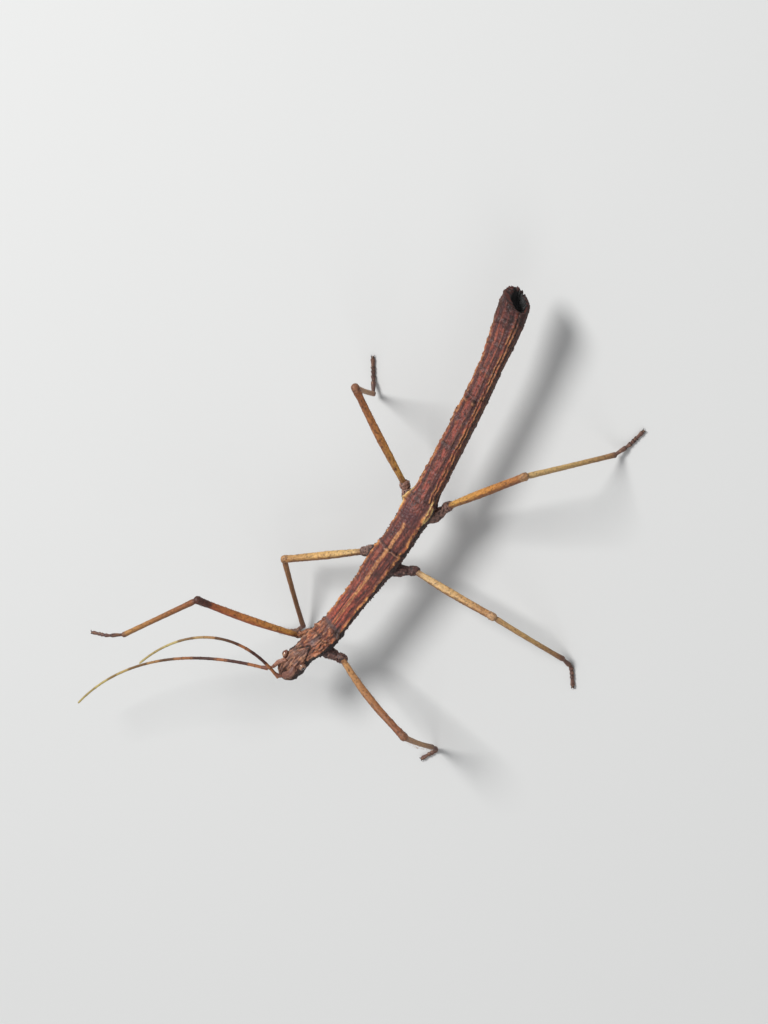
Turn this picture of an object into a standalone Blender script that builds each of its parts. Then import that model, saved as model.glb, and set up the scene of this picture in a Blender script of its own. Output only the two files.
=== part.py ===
"""A wingless stick insect at life size, standing on five feet with its right front leg raised.

The head points along -Y, the tail along +Y and the insect's left side along +X.
Sizes below are in millimetres and angles in degrees. The floor is z = 0.
"""
import math
import random

import bmesh
import bpy
from mathutils import Matrix, Vector

MM = 0.001
GAP = 0.3
FLOOR_SNAP = 0.1

# Body: one long form, parted across into its segments
BODY_START = Vector((-2.85, -29.5, 10.2))
HEAD_LIFT = 1.0
HEAD_LIFT_LENGTH = 50.0
RING_SPACING = 0.9
PATH_STEP = 0.2
SECTION_POWER = 2.3
BODY_HEADING = ((0, 9.5), (6, 8.5), (13, 8), (24, 3), (34, -1), (44, -6), (58, -6.5), (70, -11), (82, -17))
BODY_ROLL = ((0, 0), (30, 0), (55, -7), (82, -7))
HEAD_END = 7.4
THORAX_END = 41.5
BODY_SEGMENTS = (
    ("head", 0.0, HEAD_END),
    ("pronotum", HEAD_END, 13.6),
    ("mesothorax", 13.6, 31.3),
    ("metathorax", 31.3, THORAX_END),
    ("abdomen_2", THORAX_END, 46.7),
    ("abdomen_3", 46.7, 51.9),
    ("abdomen_4", 51.9, 56.9),
    ("abdomen_5", 56.9, 61.2),
    ("abdomen_6", 61.2, 66.3),
    ("abdomen_7", 66.3, 71.1),
    ("abdomen_8", 71.1, 75.1),
    ("tail", 75.1, 80.0),
)
BODY_SHIFT = (
    (0, 0.1), (5, -0.1), (8, 0.3), (12, 0.65), (15, 0.5), (18, 0.3), (24, 0.2), (28, 0), (32, 0.28),
    (70, 0.25), (80, 0.15),
)
HALF_WIDTH = (
    (0, 0.95), (0.5, 1.5), (1.4, 1.9), (3.0, 1.98), (4.6, 1.85), (5.6, 1.75), (6.4, 1.95), (11.5, 2.2),
    (13.6, 1.95), (20, 1.98), (25, 2.25), (29, 2.5), (31.5, 2.4), (36, 2.45), (40, 2.6), (43, 2.05),
    (52, 1.95), (67, 1.85), (72, 2.25), (76, 2.5), (78.5, 2.35), (82, 2.0),
)
HALF_HEIGHT = (
    (0, 0.75), (0.5, 1.15), (1.4, 1.45), (3.5, 1.7), (5.6, 1.55), (8, 1.85), (12, 1.95), (14, 1.8),
    (28, 2.1), (39, 2.1), (43, 1.75), (62, 1.65), (67, 1.6), (72, 1.8), (78, 2.0), (82, 1.8),
)
SECTION_ANGLES = (0, 13, 26, 40, 54, 68, 84, 102, 122, 142, 162, 180)
THORAX_RIDGES = ((0, 0.16), (54, 0.26), (84, 0.1))
ABDOMEN_RIDGES = ((0, 0.08), (26, 0.16), (54, 0.2))
RIDGE_SPREAD = 7.0
COLLAR_HEIGHT = 0.16
COLLAR_LENGTH = 0.6
NECK_DEPTH = 0.1
WRINKLE = 0.045
GROOVE_DISTANCE = 11.0
GROOVE_DEPTH = 0.18
GROOVE_LENGTH = 0.45
FLAP_DISTANCE = 39.8
FLAP_LENGTH = 1.6
FLAP_HEIGHT = 0.35
TAIL_HOLLOW_DEPTH = 4.0
TAIL_HOLLOW_SHIFT = 0.4
TAIL_WALL = 0.62
TAIL_RIM_TILT = 3.0
TAIL_RIM_TURN = 60
TAIL_RAGGED = 0.3

# Spines of the body: rows of (start, end, spacing, angle, spread of the angle, size), and pairs of humps
SPINE_SIDES = 5
SPINE_SUNK = 0.35
SPINE_RADIUS = 0.44
SPINE_HEIGHTS = (0.3, 0.55)
SPINE_MARGIN = 0.7
SPINE_SEED = 11
SPINE_ROWS = (
    (3.6, 6.7, 1.0, 17, 2, 0.7),
    (8.0, 41.0, 2.0, 54, 2, 0.8),
    (8.0, 41.0, 1.6, 69, 4, 0.9),
    (8.0, 40.8, 1.7, 88, 6, 1.0),
    (9.5, 38.0, 1.9, 106, 6, 1.0),
    (42.0, 75.0, 2.3, 56, 5, 0.55),
    (42.4, 75.0, 2.9, 80, 6, 0.55),
)
HUMPS = ((60.2, 18, 0.6), (56.0, 24, 0.4), (65.4, 24, 0.4))
HIP_CLEARANCE = 2.3
HIP_TOP_ANGLE = 66

# Head: distance, side and height of each eye, with the face turned a little to its left
EYES = {"left": (4.4, 1.65, 1.2), "right": (3.7, -1.9, 1.2)}
EYE_RADIUS = 0.6
MOUTH_DISTANCE = 0.4
LABRUM_SIZE = Vector((0.75, 0.4, 0.42))
LABRUM_PLACE = Vector((0, -0.25, -0.55))
MANDIBLE_SIZE = Vector((0.45, 0.6, 0.5))
MANDIBLE_PLACE = Vector((0.55, 0.3, -0.85))
PALP_PLACE = Vector((0.75, 0.6, -1.0))
PALP_LENGTH = 1.5
PALP_RADIUS = 0.26

# Antennae: a flat first piece from its distance and angle on the head, then a long curve
SCAPE_LIFT = 0.8
SCAPE_HALF_THICKNESS = 0.27
FLAGELLUM_RADIUS = 0.28
FLAGELLUM_TIP_RADIUS = 0.17
FLAGELLUM_SPLIT = 0.5
FLAGELLUM_RINGS = 13
ANTENNAE = {
    "right": {
        "root": (2.7, -38),
        "scape_width": 0.36,
        "scape_end": Vector((-4.75, -29.0, 12.55)),
        "curve": ((-5.24, -29.83, 12.45), (-19.0, -34.5, 17.9), (-27.8, -47.3, 14.3), (-30.95, -60.4, 10.0)),
    },
    "left": {
        "root": (3.0, 30),
        "scape_width": 0.58,
        "scape_end": Vector((-2.35, -28.9, 12.82)),
        "curve": ((-2.85, -29.6, 12.85), (-11.6, -23.7, 19.3), (-19.3, -30.1, 20.8), (-22.0, -40.5, 21.0)),
    },
}

# Legs: lengths for each pair, then the stance of each leg
LEG_LENGTHS = {
    "front": (19.7, 15.9, 2.8, 3.3),
    "mid": (15.8, 14.1, 2.5, 3.2),
    "hind": (19.6, 17.7, 2.8, 3.3),
}
COXA_DISTANCE = {"front": 8.8, "mid": 27.8, "hind": 39.2}
COXA_ANGLE = 112
COXA_RADIUS = 0.95
TROCHANTER_RADIUS = 0.82
FEMUR_BASE_RADIUS = 0.5
FEMUR_RADIUS = 0.64
KNEE_RADIUS = 0.7
TIBIA_BASE_RADIUS = 0.45
TIBIA_RADIUS = 0.42
ANKLE_RADIUS = 0.47
TARSUS_RADIUS = 0.37
TARSUS_HEIGHT = 0.34
CLAW_LENGTH = 0.75
CLAW_RADIUS = 0.22
CLAW_SPREAD = 38
CLAW_DROP = 0.2
TIBIA_BOW = 0.15
TOOTH_COUNT = 6
TOOTH_SPAN = (0.32, 0.9)
TOOTH_ANGLE = 28
TOOTH_RADIUS = 0.28
TOOTH_HEIGHTS = (0.25, 0.42)
LEG_SIDES = 8
LEGS = {
    "front_right": {
        "side": -1, "hip": (6.4, 3.05, 1.35), "femur": (-90.4, 45.6), "tibia": -151.8, "rise": -0.7,
        "tarsus": (-125.4, -123.2), "tarsus_rise": (37.4, -12.8), "bow": 0.5, "hip_size": 0.64,
    },
    "front_left": {
        "side": 1, "hip": (9.8, 5.2, 1.0), "femur": (88.9, 23.1), "tibia": 166.0, "ankle": 2.9,
        "tarsus": (157.4, -157.4), "bow": 1.0,
    },
    "mid_right": {
        "side": -1, "hip": (26.1, 3.9, 2.0), "femur": (-135.2, -3.4), "tibia": 144.0, "ankle": 1.6,
        "tarsus": (-158.8, -133.1), "bow": 0.3,
    },
    "mid_left": {
        "side": 1, "hip": (29.5, 5.0, 1.85), "femur": (78.5, 3.2), "tibia": 95.8, "ankle": 2.0,
        "tarsus": (117.8, 140.3), "bow": 0.3,
    },
    "hind_right": {
        "side": -1, "hip": (40.9, 4.0, 0.7), "femur": (-50.3, 25.7), "tibia": -162.6, "ankle": 1.6,
        "tarsus": (-48.1, -36.4), "bow": 0.35,
    },
    "hind_left": {
        "side": 1, "hip": (42.1, 4.2, 1.05), "femur": (31.6, 21.5), "tibia": 44.5, "ankle": 1.45,
        "tarsus": (17.5, 10.6), "bow": 0.3,
    },
}

# Colours of the plain solids
COLOURS = {
    "thorax": ((0.20, 0.075, 0.05, 1.0), 0.6),
    "abdomen": ((0.18, 0.06, 0.045, 1.0), 0.6),
    "dark": ((0.05, 0.022, 0.018, 1.0), 0.55),
    "leg": ((0.42, 0.2, 0.07, 1.0), 0.55),
    "antenna": ((0.3, 0.16, 0.08, 1.0), 0.55),
    "eye": ((0.35, 0.22, 0.12, 1.0), 0.2),
}


def clear_scene():
    for old in list(bpy.data.objects):
        bpy.data.objects.remove(old, do_unlink=True)


def make_material(name):
    colour, roughness = COLOURS[name]
    material = bpy.data.materials.new(name)
    material.use_nodes = True
    shader = material.node_tree.nodes["Principled BSDF"]
    shader.inputs["Base Color"].default_value = colour
    shader.inputs["Roughness"].default_value = roughness
    shader.inputs["Metallic"].default_value = 0.0
    material.diffuse_color = colour
    return material


def read_table(table, distance):
    """The value at a distance, eased between the two nearest rows of a table."""
    for (start, low), (end, high) in zip(table, table[1:]):
        if distance <= end:
            t = max(0.0, (distance - start) / (end - start))
            return low + (high - low) * t
    return table[-1][1]


def direction(azimuth, elevation):
    """Unit vector from an azimuth, 0 towards the tail and 90 to the insect's left, and an elevation."""
    flat = math.cos(math.radians(elevation))
    turn = math.radians(azimuth)
    return Vector((math.sin(turn) * flat, math.cos(turn) * flat, math.sin(math.radians(elevation))))


def body_frame(distance):
    """Point on the body's centreline, with its side, up and rearward directions."""
    point = Vector((BODY_START.x, BODY_START.y, 0))
    steps = max(1, round(distance / PATH_STEP))
    for step in range(steps):
        heading = math.radians(read_table(BODY_HEADING, (step + 0.5) * distance / steps))
        point += Vector((math.sin(heading), math.cos(heading), 0)) * distance / steps
    heading = math.radians(read_table(BODY_HEADING, distance))
    point.z = BODY_START.z + HEAD_LIFT * max(0.0, 1 - distance / HEAD_LIFT_LENGTH)
    side = Vector((math.cos(heading), -math.sin(heading), 0))
    rear = Vector((math.sin(heading), math.cos(heading), 0))
    return point, side, Vector((0, 0, 1)), rear


def rolled_frame(distance):
    """The middle of the body itself, which sways and rolls a little about that line."""
    point, side, up, rear = body_frame(distance)
    point = point + side * read_table(BODY_SHIFT, distance)
    roll = math.radians(read_table(BODY_ROLL, distance))
    rolled_side = side * math.cos(roll) - up * math.sin(roll)
    rolled_up = side * math.sin(roll) + up * math.cos(roll)
    return point, rolled_side, rolled_up, rear


def bump(value, centre, spread):
    return math.exp(-((value - centre) / spread) ** 2)


def ridge_height(distance, angle):
    """Height of the lengthwise ridges at an angle from the middle of the back."""
    if distance < HEAD_END:
        return 0.0
    ridges = THORAX_RIDGES if distance < THORAX_END else ABDOMEN_RIDGES
    wave = 0.8 + 0.35 * math.sin(distance * 2.1 + angle * 0.05)
    return wave * sum(height * bump(abs(angle), centre, RIDGE_SPREAD) for centre, height in ridges)


def segment_height(distance, angle):
    """Collar at the rear of each segment, the groove of the pronotum and the flaps above the hind hips."""
    height = 0.0
    for _, start, end in BODY_SEGMENTS[1:-1]:
        if start <= distance <= end:
            height += COLLAR_HEIGHT * bump(distance, end - COLLAR_LENGTH / 2, COLLAR_LENGTH)
            height -= NECK_DEPTH * bump(distance, start, COLLAR_LENGTH)
    if abs(angle) < 70:
        height -= GROOVE_DEPTH * bump(distance, GROOVE_DISTANCE, GROOVE_LENGTH)
    height += FLAP_HEIGHT * bump(distance, FLAP_DISTANCE, FLAP_LENGTH) * bump(abs(angle), 66, 14)
    return height


def wrinkle(distance, angle):
    slow = math.sin(distance * 3.1 + angle * 0.09)
    quick = math.sin(distance * 5.7 - angle * 0.13 + 1.3)
    return WRINKLE * (slow + 0.7 * quick)


def surface(distance, angle, lift=0.0, shrink=1.0):
    """Point on the body at an angle from the middle of the back, positive on the insect's left."""
    point, side, up, _ = rolled_frame(distance)
    turn = math.radians(angle)
    across, high = math.sin(turn), math.cos(turn)
    reach = (abs(across) ** SECTION_POWER + abs(high) ** SECTION_POWER) ** (-1 / SECTION_POWER)
    wide = read_table(HALF_WIDTH, distance) * reach * shrink
    tall = read_table(HALF_HEIGHT, distance) * reach * shrink
    relief = lift
    if shrink == 1.0:
        relief += ridge_height(distance, angle) + segment_height(distance, angle) + wrinkle(distance, angle)
    return point + side * across * (wide + relief) + up * high * (tall + relief)


def surface_normal(distance, angle):
    step = 0.5
    along = surface(distance + step, angle) - surface(distance - step, angle)
    around = surface(distance, angle + 8) - surface(distance, angle - 8)
    return around.cross(along).normalized()


def mesh_from_rings(rings):
    """A closed mesh lofted through rings of equal count, with flat caps."""
    mesh = bpy.data.meshes.new("loft")
    form = bmesh.new()
    layers = [[form.verts.new(point * MM) for point in ring] for ring in rings]
    count = len(rings[0])
    for low, high in zip(layers, layers[1:]):
        for i in range(count):
            j = (i + 1) % count
            form.faces.new((low[i], low[j], high[j], high[i]))
    form.faces.new(list(reversed(layers[0])))
    form.faces.new(layers[-1])
    bmesh.ops.recalc_face_normals(form, faces=form.faces)
    form.to_mesh(mesh)
    form.free()
    return mesh


def add_object(name, mesh, material, parent):
    """One named sub-part with a material of its own, shaded smooth except at its sharp edges."""
    piece = bpy.data.objects.new(name, mesh)
    bpy.context.scene.collection.objects.link(piece)
    piece.parent = parent
    piece.data.materials.append(make_material(material))
    piece.data.shade_smooth()
    piece.data.set_sharp_from_angle(angle=math.radians(50))
    return piece


def spine(root, axis, radius, height):
    """A closed spike along an axis, with its base sunk below the surface."""
    side = axis.orthogonal().normalized()
    up = axis.cross(side)
    base = root - axis * SPINE_SUNK
    form = bmesh.new()
    ring = []
    for i in range(SPINE_SIDES):
        turn = 2 * math.pi * i / SPINE_SIDES
        ring.append(form.verts.new((base + (side * math.cos(turn) + up * math.sin(turn)) * radius) * MM))
    tip = form.verts.new((root + axis * height) * MM)
    for i in range(SPINE_SIDES):
        form.faces.new((ring[i], ring[(i + 1) % SPINE_SIDES], tip))
    form.faces.new(list(reversed(ring)))
    bmesh.ops.recalc_face_normals(form, faces=form.faces)
    mesh = bpy.data.meshes.new("spine")
    form.to_mesh(mesh)
    form.free()
    return mesh


def keep_largest(mesh):
    """Deletes every closed surface of a mesh but the one with the most points."""
    form = bmesh.new()
    form.from_mesh(mesh)
    waiting = set(form.verts)
    islands = []
    while waiting:
        island = set()
        edge = [waiting.pop()]
        while edge:
            vertex = edge.pop()
            island.add(vertex)
            for link in vertex.link_edges:
                other = link.other_vert(vertex)
                if other in waiting:
                    waiting.remove(other)
                    edge.append(other)
        islands.append(island)
    islands.sort(key=len)
    for island in islands[:-1]:
        bmesh.ops.delete(form, geom=list(island), context="VERTS")
    form.to_mesh(mesh)
    form.free()


def fuse(piece, forms):
    """Joins closed forms to a piece by one union, which is applied, and keeps its largest closed surface."""
    group = bpy.data.collections.new("forms")
    bpy.context.scene.collection.children.link(group)
    for mesh in forms:
        group.objects.link(bpy.data.objects.new("form", mesh))
    union = piece.modifiers.new("union", "BOOLEAN")
    union.operation = "UNION"
    union.operand_type = "COLLECTION"
    union.collection = group
    graph = bpy.context.evaluated_depsgraph_get()
    joined = bpy.data.meshes.new_from_object(piece.evaluated_get(graph))
    piece.modifiers.clear()
    for form in list(group.objects):
        bpy.data.objects.remove(form, do_unlink=True)
    bpy.data.collections.remove(group)
    keep_largest(joined)
    material = piece.data.materials[0]
    joined.materials.clear()
    joined.materials.append(material)
    joined.shade_smooth()
    joined.set_sharp_from_angle(angle=math.radians(50))
    piece.data = joined


def clear_of_hips(distance, angle):
    nearest = min(abs(distance - hip) for hip in COXA_DISTANCE.values())
    return angle < HIP_TOP_ANGLE or nearest > HIP_CLEARANCE


def spine_places():
    """Distance, angle and height of every spine of the body, in uneven rows on both sides."""
    draw = random.Random(SPINE_SEED)
    places = []
    for start, end, spacing, middle, spread, size in SPINE_ROWS:
        for side in (-1, 1):
            distance = start + draw.uniform(0, spacing)
            while distance < end:
                angle = middle + draw.uniform(-spread, spread)
                height = size * draw.uniform(*SPINE_HEIGHTS)
                if clear_of_hips(distance, angle):
                    places.append((distance, angle * side, height))
                distance += spacing * draw.uniform(0.75, 1.25)
    for distance, angle, height in HUMPS:
        places += [(distance, angle, height), (distance, -angle, height)]
    return places


def segment_spines(places, start, end):
    forms = []
    for distance, angle, height in places:
        if start + SPINE_MARGIN < distance < end - SPINE_MARGIN:
            root = surface(distance, angle)
            forms.append(spine(root, surface_normal(distance, angle), SPINE_RADIUS, height))
    return forms


def mouth_forms():
    """Upper lip, jaws and palps under the front of the head, with the line of the mouth between them."""
    point, side, up, rear = rolled_frame(MOUTH_DISTANCE)
    turn = Matrix((side, rear, up)).transposed()
    forms = [oval(point + turn @ LABRUM_PLACE, LABRUM_SIZE, turn)]
    for way in (-1, 1):
        mirror = Vector((way, 1, 1))
        forms.append(oval(point + turn @ (MANDIBLE_PLACE * mirror), MANDIBLE_SIZE, turn))
        root = point + turn @ (PALP_PLACE * mirror)
        bend = root + turn @ (Vector((0.2, -0.3, -0.2)) * mirror * PALP_LENGTH)
        tip = root + turn @ (Vector((0.1, -1.0, -0.2)) * mirror * PALP_LENGTH)
        radii = [PALP_RADIUS, PALP_RADIUS, PALP_RADIUS * 1.05, PALP_RADIUS * 0.6]
        path = [root + up * PALP_RADIUS, root, bend, tip]
        forms.append(mesh_from_rings(tube(path, radii, sides=5)))
    return forms


def oval(centre, size, turn):
    """An egg shape of the given half sizes, turned with the head."""
    mesh = bpy.data.meshes.new("oval")
    form = bmesh.new()
    bmesh.ops.create_uvsphere(form, u_segments=8, v_segments=6, radius=MM)
    bmesh.ops.scale(form, verts=form.verts, vec=size)
    bmesh.ops.rotate(form, verts=form.verts, matrix=turn)
    bmesh.ops.translate(form, verts=form.verts, vec=centre * MM)
    form.to_mesh(mesh)
    form.free()
    return mesh


def section_ring(distance, shrink=1.0, offsets=None):
    angles = list(SECTION_ANGLES) + [-angle for angle in reversed(SECTION_ANGLES[1:-1])]
    ring = []
    for i, angle in enumerate(angles):
        shift = offsets[i] if offsets else 0.0
        ring.append(surface(distance + shift, angle, shrink=shrink))
    return ring


def ring_distances(start, end):
    count = max(3, round((end - start) / RING_SPACING))
    return [start + (end - start) * i / count for i in range(count + 1)]


def build_body(parent):
    """The head, thorax and abdomen as separate lengths, a gap apart, each with its spines."""
    places = spine_places()
    for name, start, end in BODY_SEGMENTS[:-1]:
        first = start + GAP / 2 if start > 0 else start
        rings = [section_ring(distance) for distance in ring_distances(first, end - GAP / 2)]
        material = "thorax" if end <= THORAX_END else "abdomen"
        piece = add_object(name, mesh_from_rings(rings), material, parent)
        forms = segment_spines(places, start, end)
        if name == "head":
            forms += mouth_forms()
        fuse(piece, forms)
    build_tail(parent)


def build_tail(parent):
    """The last segment: a blunt end with a ragged, slanted rim round an open hollow."""
    name, start, end = BODY_SEGMENTS[-1]
    angles = list(SECTION_ANGLES) + [-angle for angle in reversed(SECTION_ANGLES[1:-1])]
    tilt = [-TAIL_RIM_TILT * (1 + math.cos(math.radians(angle - TAIL_RIM_TURN))) / 2 for angle in angles]
    ragged = [TAIL_RAGGED * math.sin(i * 2.3) for i in range(len(angles))]
    last = end - TAIL_RIM_TILT - 2 * TAIL_RAGGED
    floor = end - TAIL_HOLLOW_DEPTH
    reach = [end + a + b for a, b in zip(tilt, ragged)]
    rings = [section_ring(distance) for distance in ring_distances(start + GAP / 2, last)]
    for share in (0.33, 0.67, 1.0):
        rings.append(section_ring(last, offsets=[(rim - last) * share for rim in reach]))
    side = rolled_frame(end)[1]
    for share, size in ((1.0, 1.0), (0.5, 0.92), (0.0, 0.6)):
        ring = section_ring(floor, TAIL_WALL * size, [(rim - floor) * share for rim in reach])
        rings.append([point + side * TAIL_HOLLOW_SHIFT for point in ring])
    add_object(name, mesh_from_rings(rings), "abdomen", parent)


def frames_along(points):
    """A side and an up direction at each point of a path, carried along it without twist."""
    frames = []
    side = None
    for i, point in enumerate(points):
        ahead = points[min(i + 1, len(points) - 1)]
        behind = points[max(i - 1, 0)]
        forward = (ahead - behind).normalized()
        if side is None:
            side = forward.cross(Vector((0, 0, 1)))
            if side.length < 0.2:
                side = forward.cross(Vector((1, 0, 0)))
        side = (side - forward * side.dot(forward)).normalized()
        frames.append((side, side.cross(forward)))
    return frames


def tube(points, radii, sides=LEG_SIDES, flatten=1.0):
    """Rings round a path, a radius for each point. Flatten thins the tube along its up direction."""
    rings = []
    for point, radius, (side, up) in zip(points, radii, frames_along(points)):
        ring = []
        for i in range(sides):
            turn = 2 * math.pi * (i + 0.5) / sides
            ring.append(point + side * radius * math.cos(turn) + up * radius * flatten * math.sin(turn))
        rings.append(ring)
    return rings


def limb_path(start, end, bow, stations):
    """Points and radii of a limb between two joints, for stations of (distance, radius)."""
    line = end - start
    length = line.length
    forward = line / length
    lift = (Vector((0, 0, 1)) - forward * forward.z).normalized()
    points = []
    for distance, _ in stations:
        t = min(max(distance / length, 0.0), 1.0)
        points.append(start + forward * distance + lift * bow * math.sin(math.pi * t))
    return points, [radius for _, radius in stations]


def rounded_end(length, radius):
    """Stations of a ball joint of that radius round the end of a limb."""
    return [(length - radius, radius * 0.86), (length, radius), (length + radius * 0.55, radius * 0.82),
            (length + radius * 0.92, radius * 0.38)]


def floor_elevation(knee, ankle_height, length):
    return math.degrees(math.asin((ankle_height - knee.z) / length))


def leg_joints(name):
    """Hip, knee, ankle, middle of the foot and toe of one leg, on the floor unless the leg is raised."""
    leg = LEGS[name]
    femur, tibia, heel, toe = LEG_LENGTHS[name.split("_")[0]]
    distance, out, drop = leg["hip"]
    point, side, up, _ = body_frame(distance)
    hip = point + side * out * leg["side"] - up * drop
    knee = hip + direction(*leg["femur"]) * femur
    if "ankle" in leg:
        rise = floor_elevation(knee, leg["ankle"], tibia)
        ankle = knee + direction(leg["tibia"], rise) * tibia
        heel_rise = floor_elevation(ankle, TARSUS_HEIGHT, heel)
        middle = ankle + direction(leg["tarsus"][0], heel_rise) * heel
        end = middle + direction(leg["tarsus"][1], 0) * toe
    else:
        ankle = knee + direction(leg["tibia"], leg["rise"]) * tibia
        middle = ankle + direction(leg["tarsus"][0], leg["tarsus_rise"][0]) * heel
        end = middle + direction(leg["tarsus"][1], leg["tarsus_rise"][1]) * toe
    return hip, knee, ankle, middle, end


def coxa_rings(name, hip):
    """The hip piece: a cone from the flank that ends in the ball of the trochanter."""
    pair, side_name = name.split("_")
    side = 1 if side_name == "left" else -1
    angle = COXA_ANGLE * side
    distance = COXA_DISTANCE[pair]
    size = LEGS[name].get("hip_size", 1.0)
    width = COXA_RADIUS * size
    normal = surface_normal(distance, angle)
    root = surface(distance, angle) + normal * (GAP + 0.12)
    reach = hip - root
    points = [root, root + normal * 0.3 + reach * 0.1, root + normal * 0.2 + reach * 0.5]
    radii = [width, width, width * 0.84]
    forward = (hip - points[-1]).normalized()
    for step, swell in ((-0.5, 0.9), (0.0, 1.0), (0.55, 0.82), (0.92, 0.38)):
        points.append(hip + forward * TROCHANTER_RADIUS * size * step)
        radii.append(TROCHANTER_RADIUS * size * swell)
    rings = tube(points, radii)
    flat_side = normal.cross(Vector((0, 0, 1))).normalized()
    flat_up = flat_side.cross(normal)
    for i in range(LEG_SIDES):
        turn = 2 * math.pi * (i + 0.5) / LEG_SIDES
        rings[0][i] = root + (flat_side * math.cos(turn) + flat_up * math.sin(turn)) * width
    return rings


def tarsus_rings(ankle, middle, end, raised):
    """The foot: five short joints, flat underneath where it rests on the floor."""
    first = (middle - ankle).normalized()
    last = (end - middle).normalized()
    start = ankle + first * (ANKLE_RADIUS + GAP)
    heel = (middle - start).length
    toe = (end - middle).length
    points = [start, start + first * heel * 0.5, start + first * heel * 0.85]
    points += [middle + last * toe * t for t in (0.1, 0.3, 0.38, 0.55, 0.63, 0.8, 0.88, 1.0, 1.07)]
    sizes = [0.85, 1.0, 0.95, 0.9, 1.0, 0.84, 1.0, 0.84, 1.0, 1.05, 1.0, 0.6]
    radii = [TARSUS_RADIUS * size for size in sizes]
    rings = tube(points, radii)
    if not raised:
        for ring in rings:
            settle(ring)
    return rings


def settle(points):
    """Lays the lowest points flat on the floor."""
    for point in points:
        if point.z < FLOOR_SNAP:
            point.z = 0.0


def claw_forms(middle, end):
    """Two curved claws with their roots sunk in the tip of the foot."""
    forward = (end - middle).normalized()
    side = forward.cross(Vector((0, 0, 1))).normalized()
    forms = []
    for way in (-1, 1):
        spread = math.radians(CLAW_SPREAD) * way
        out = forward * math.cos(spread) + side * math.sin(spread)
        points = [end - forward * CLAW_RADIUS, end + out * CLAW_LENGTH * 0.5]
        points.append(end + out * CLAW_LENGTH - Vector((0, 0, CLAW_DROP)))
        rings = tube(points, [CLAW_RADIUS, CLAW_RADIUS * 0.8, CLAW_RADIUS * 0.2], sides=4)
        forms.append(mesh_from_rings(rings))
    return forms


def femur_teeth(name, hip, knee, bow, stations):
    """Two rows of small teeth along the underside of a femur."""
    draw = random.Random(name)
    length = (knee - hip).length
    forward = (knee - hip).normalized()
    lift = (Vector((0, 0, 1)) - forward * forward.z).normalized()
    side = forward.cross(lift)
    start, stop = TOOTH_SPAN
    spacing = (stop - start) / TOOTH_COUNT
    forms = []
    for way in (-1, 1):
        turn = math.radians(TOOTH_ANGLE) * way
        axis = side * math.sin(turn) - lift * math.cos(turn)
        for i in range(TOOTH_COUNT):
            share = start + spacing * (i + draw.uniform(0, 0.6))
            radius = read_table(stations, share * length)
            points, _ = limb_path(hip, knee, bow, [(share * length, radius)])
            root = points[0] + axis * radius * math.cos(math.pi / LEG_SIDES)
            forms.append(spine(root, axis, TOOTH_RADIUS, draw.uniform(*TOOTH_HEIGHTS)))
    return forms


def build_leg(name, parent):
    hip, knee, ankle, middle, end = leg_joints(name)
    leg = LEGS[name]
    add_object("coxa_" + name, mesh_from_rings(coxa_rings(name, hip)), "dark", parent)

    length = (knee - hip).length
    first = TROCHANTER_RADIUS * leg.get("hip_size", 1.0) + GAP
    stations = [(first, FEMUR_BASE_RADIUS), (length * 0.14, FEMUR_BASE_RADIUS * 1.08)]
    stations += [(length * t, FEMUR_RADIUS * size) for t, size in ((0.28, 0.95), (0.45, 1.03), (0.62, 1.0))]
    stations += [(length * t, FEMUR_RADIUS * size) for t, size in ((0.76, 0.94), (0.88, 0.9))]
    points, radii = limb_path(hip, knee, leg["bow"], stations + rounded_end(length, KNEE_RADIUS))
    femur = add_object("femur_" + name, mesh_from_rings(tube(points, radii)), "leg", parent)
    fuse(femur, femur_teeth(name, hip, knee, leg["bow"], stations))

    length = (ankle - knee).length
    first = KNEE_RADIUS + GAP
    stations = [(first, TIBIA_BASE_RADIUS), (length * 0.18, TIBIA_RADIUS * 1.1)]
    stations += [(length * t, TIBIA_RADIUS * size) for t, size in ((0.4, 1.0), (0.62, 0.96), (0.84, 1.0))]
    points, radii = limb_path(knee, ankle, TIBIA_BOW, stations + rounded_end(length, ANKLE_RADIUS))
    add_object("tibia_" + name, mesh_from_rings(tube(points, radii)), "leg", parent)

    rings = tarsus_rings(ankle, middle, end, "ankle" not in leg)
    foot = add_object("tarsus_" + name, mesh_from_rings(rings), "dark", parent)
    fuse(foot, claw_forms(middle, end))


def bezier(controls, t):
    a, b, c, d = (Vector(control) for control in controls)
    u = 1 - t
    return a * u ** 3 + b * 3 * u * u * t + c * 3 * u * t * t + d * t ** 3


def build_antenna(name, parent):
    """The flat first piece above the head, then two lengths of a tapering feeler."""
    antenna = ANTENNAE[name]
    distance, angle = antenna["root"]
    root = surface(distance, angle) + surface_normal(distance, angle) * SCAPE_LIFT
    tip = antenna["scape_end"]
    width = antenna["scape_width"]
    points = [root.lerp(tip, t) for t in (0.0, 0.3, 0.75, 1.0)]
    radii = [width * size for size in (0.7, 1.0, 0.95, 0.6)]
    scape = mesh_from_rings(tube(points, radii, flatten=SCAPE_HALF_THICKNESS / width))
    add_object("scape_" + name, scape, "dark", parent)

    curve = antenna["curve"]
    lead = GAP / 40
    for part, start, end in (("base", 0.0, FLAGELLUM_SPLIT - lead), ("tip", FLAGELLUM_SPLIT + lead, 1.0)):
        points, radii = [], []
        for i in range(FLAGELLUM_RINGS):
            t = start + (end - start) * i / (FLAGELLUM_RINGS - 1)
            points.append(bezier(curve, t))
            radii.append(FLAGELLUM_RADIUS + (FLAGELLUM_TIP_RADIUS - FLAGELLUM_RADIUS) * t)
        feeler = mesh_from_rings(tube(points, radii, sides=6))
        add_object("antenna_" + name + "_" + part, feeler, "antenna", parent)


def eye_centre(name):
    distance, out, high = EYES[name]
    point, side, up, _ = rolled_frame(distance)
    return point + side * out + up * high


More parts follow.
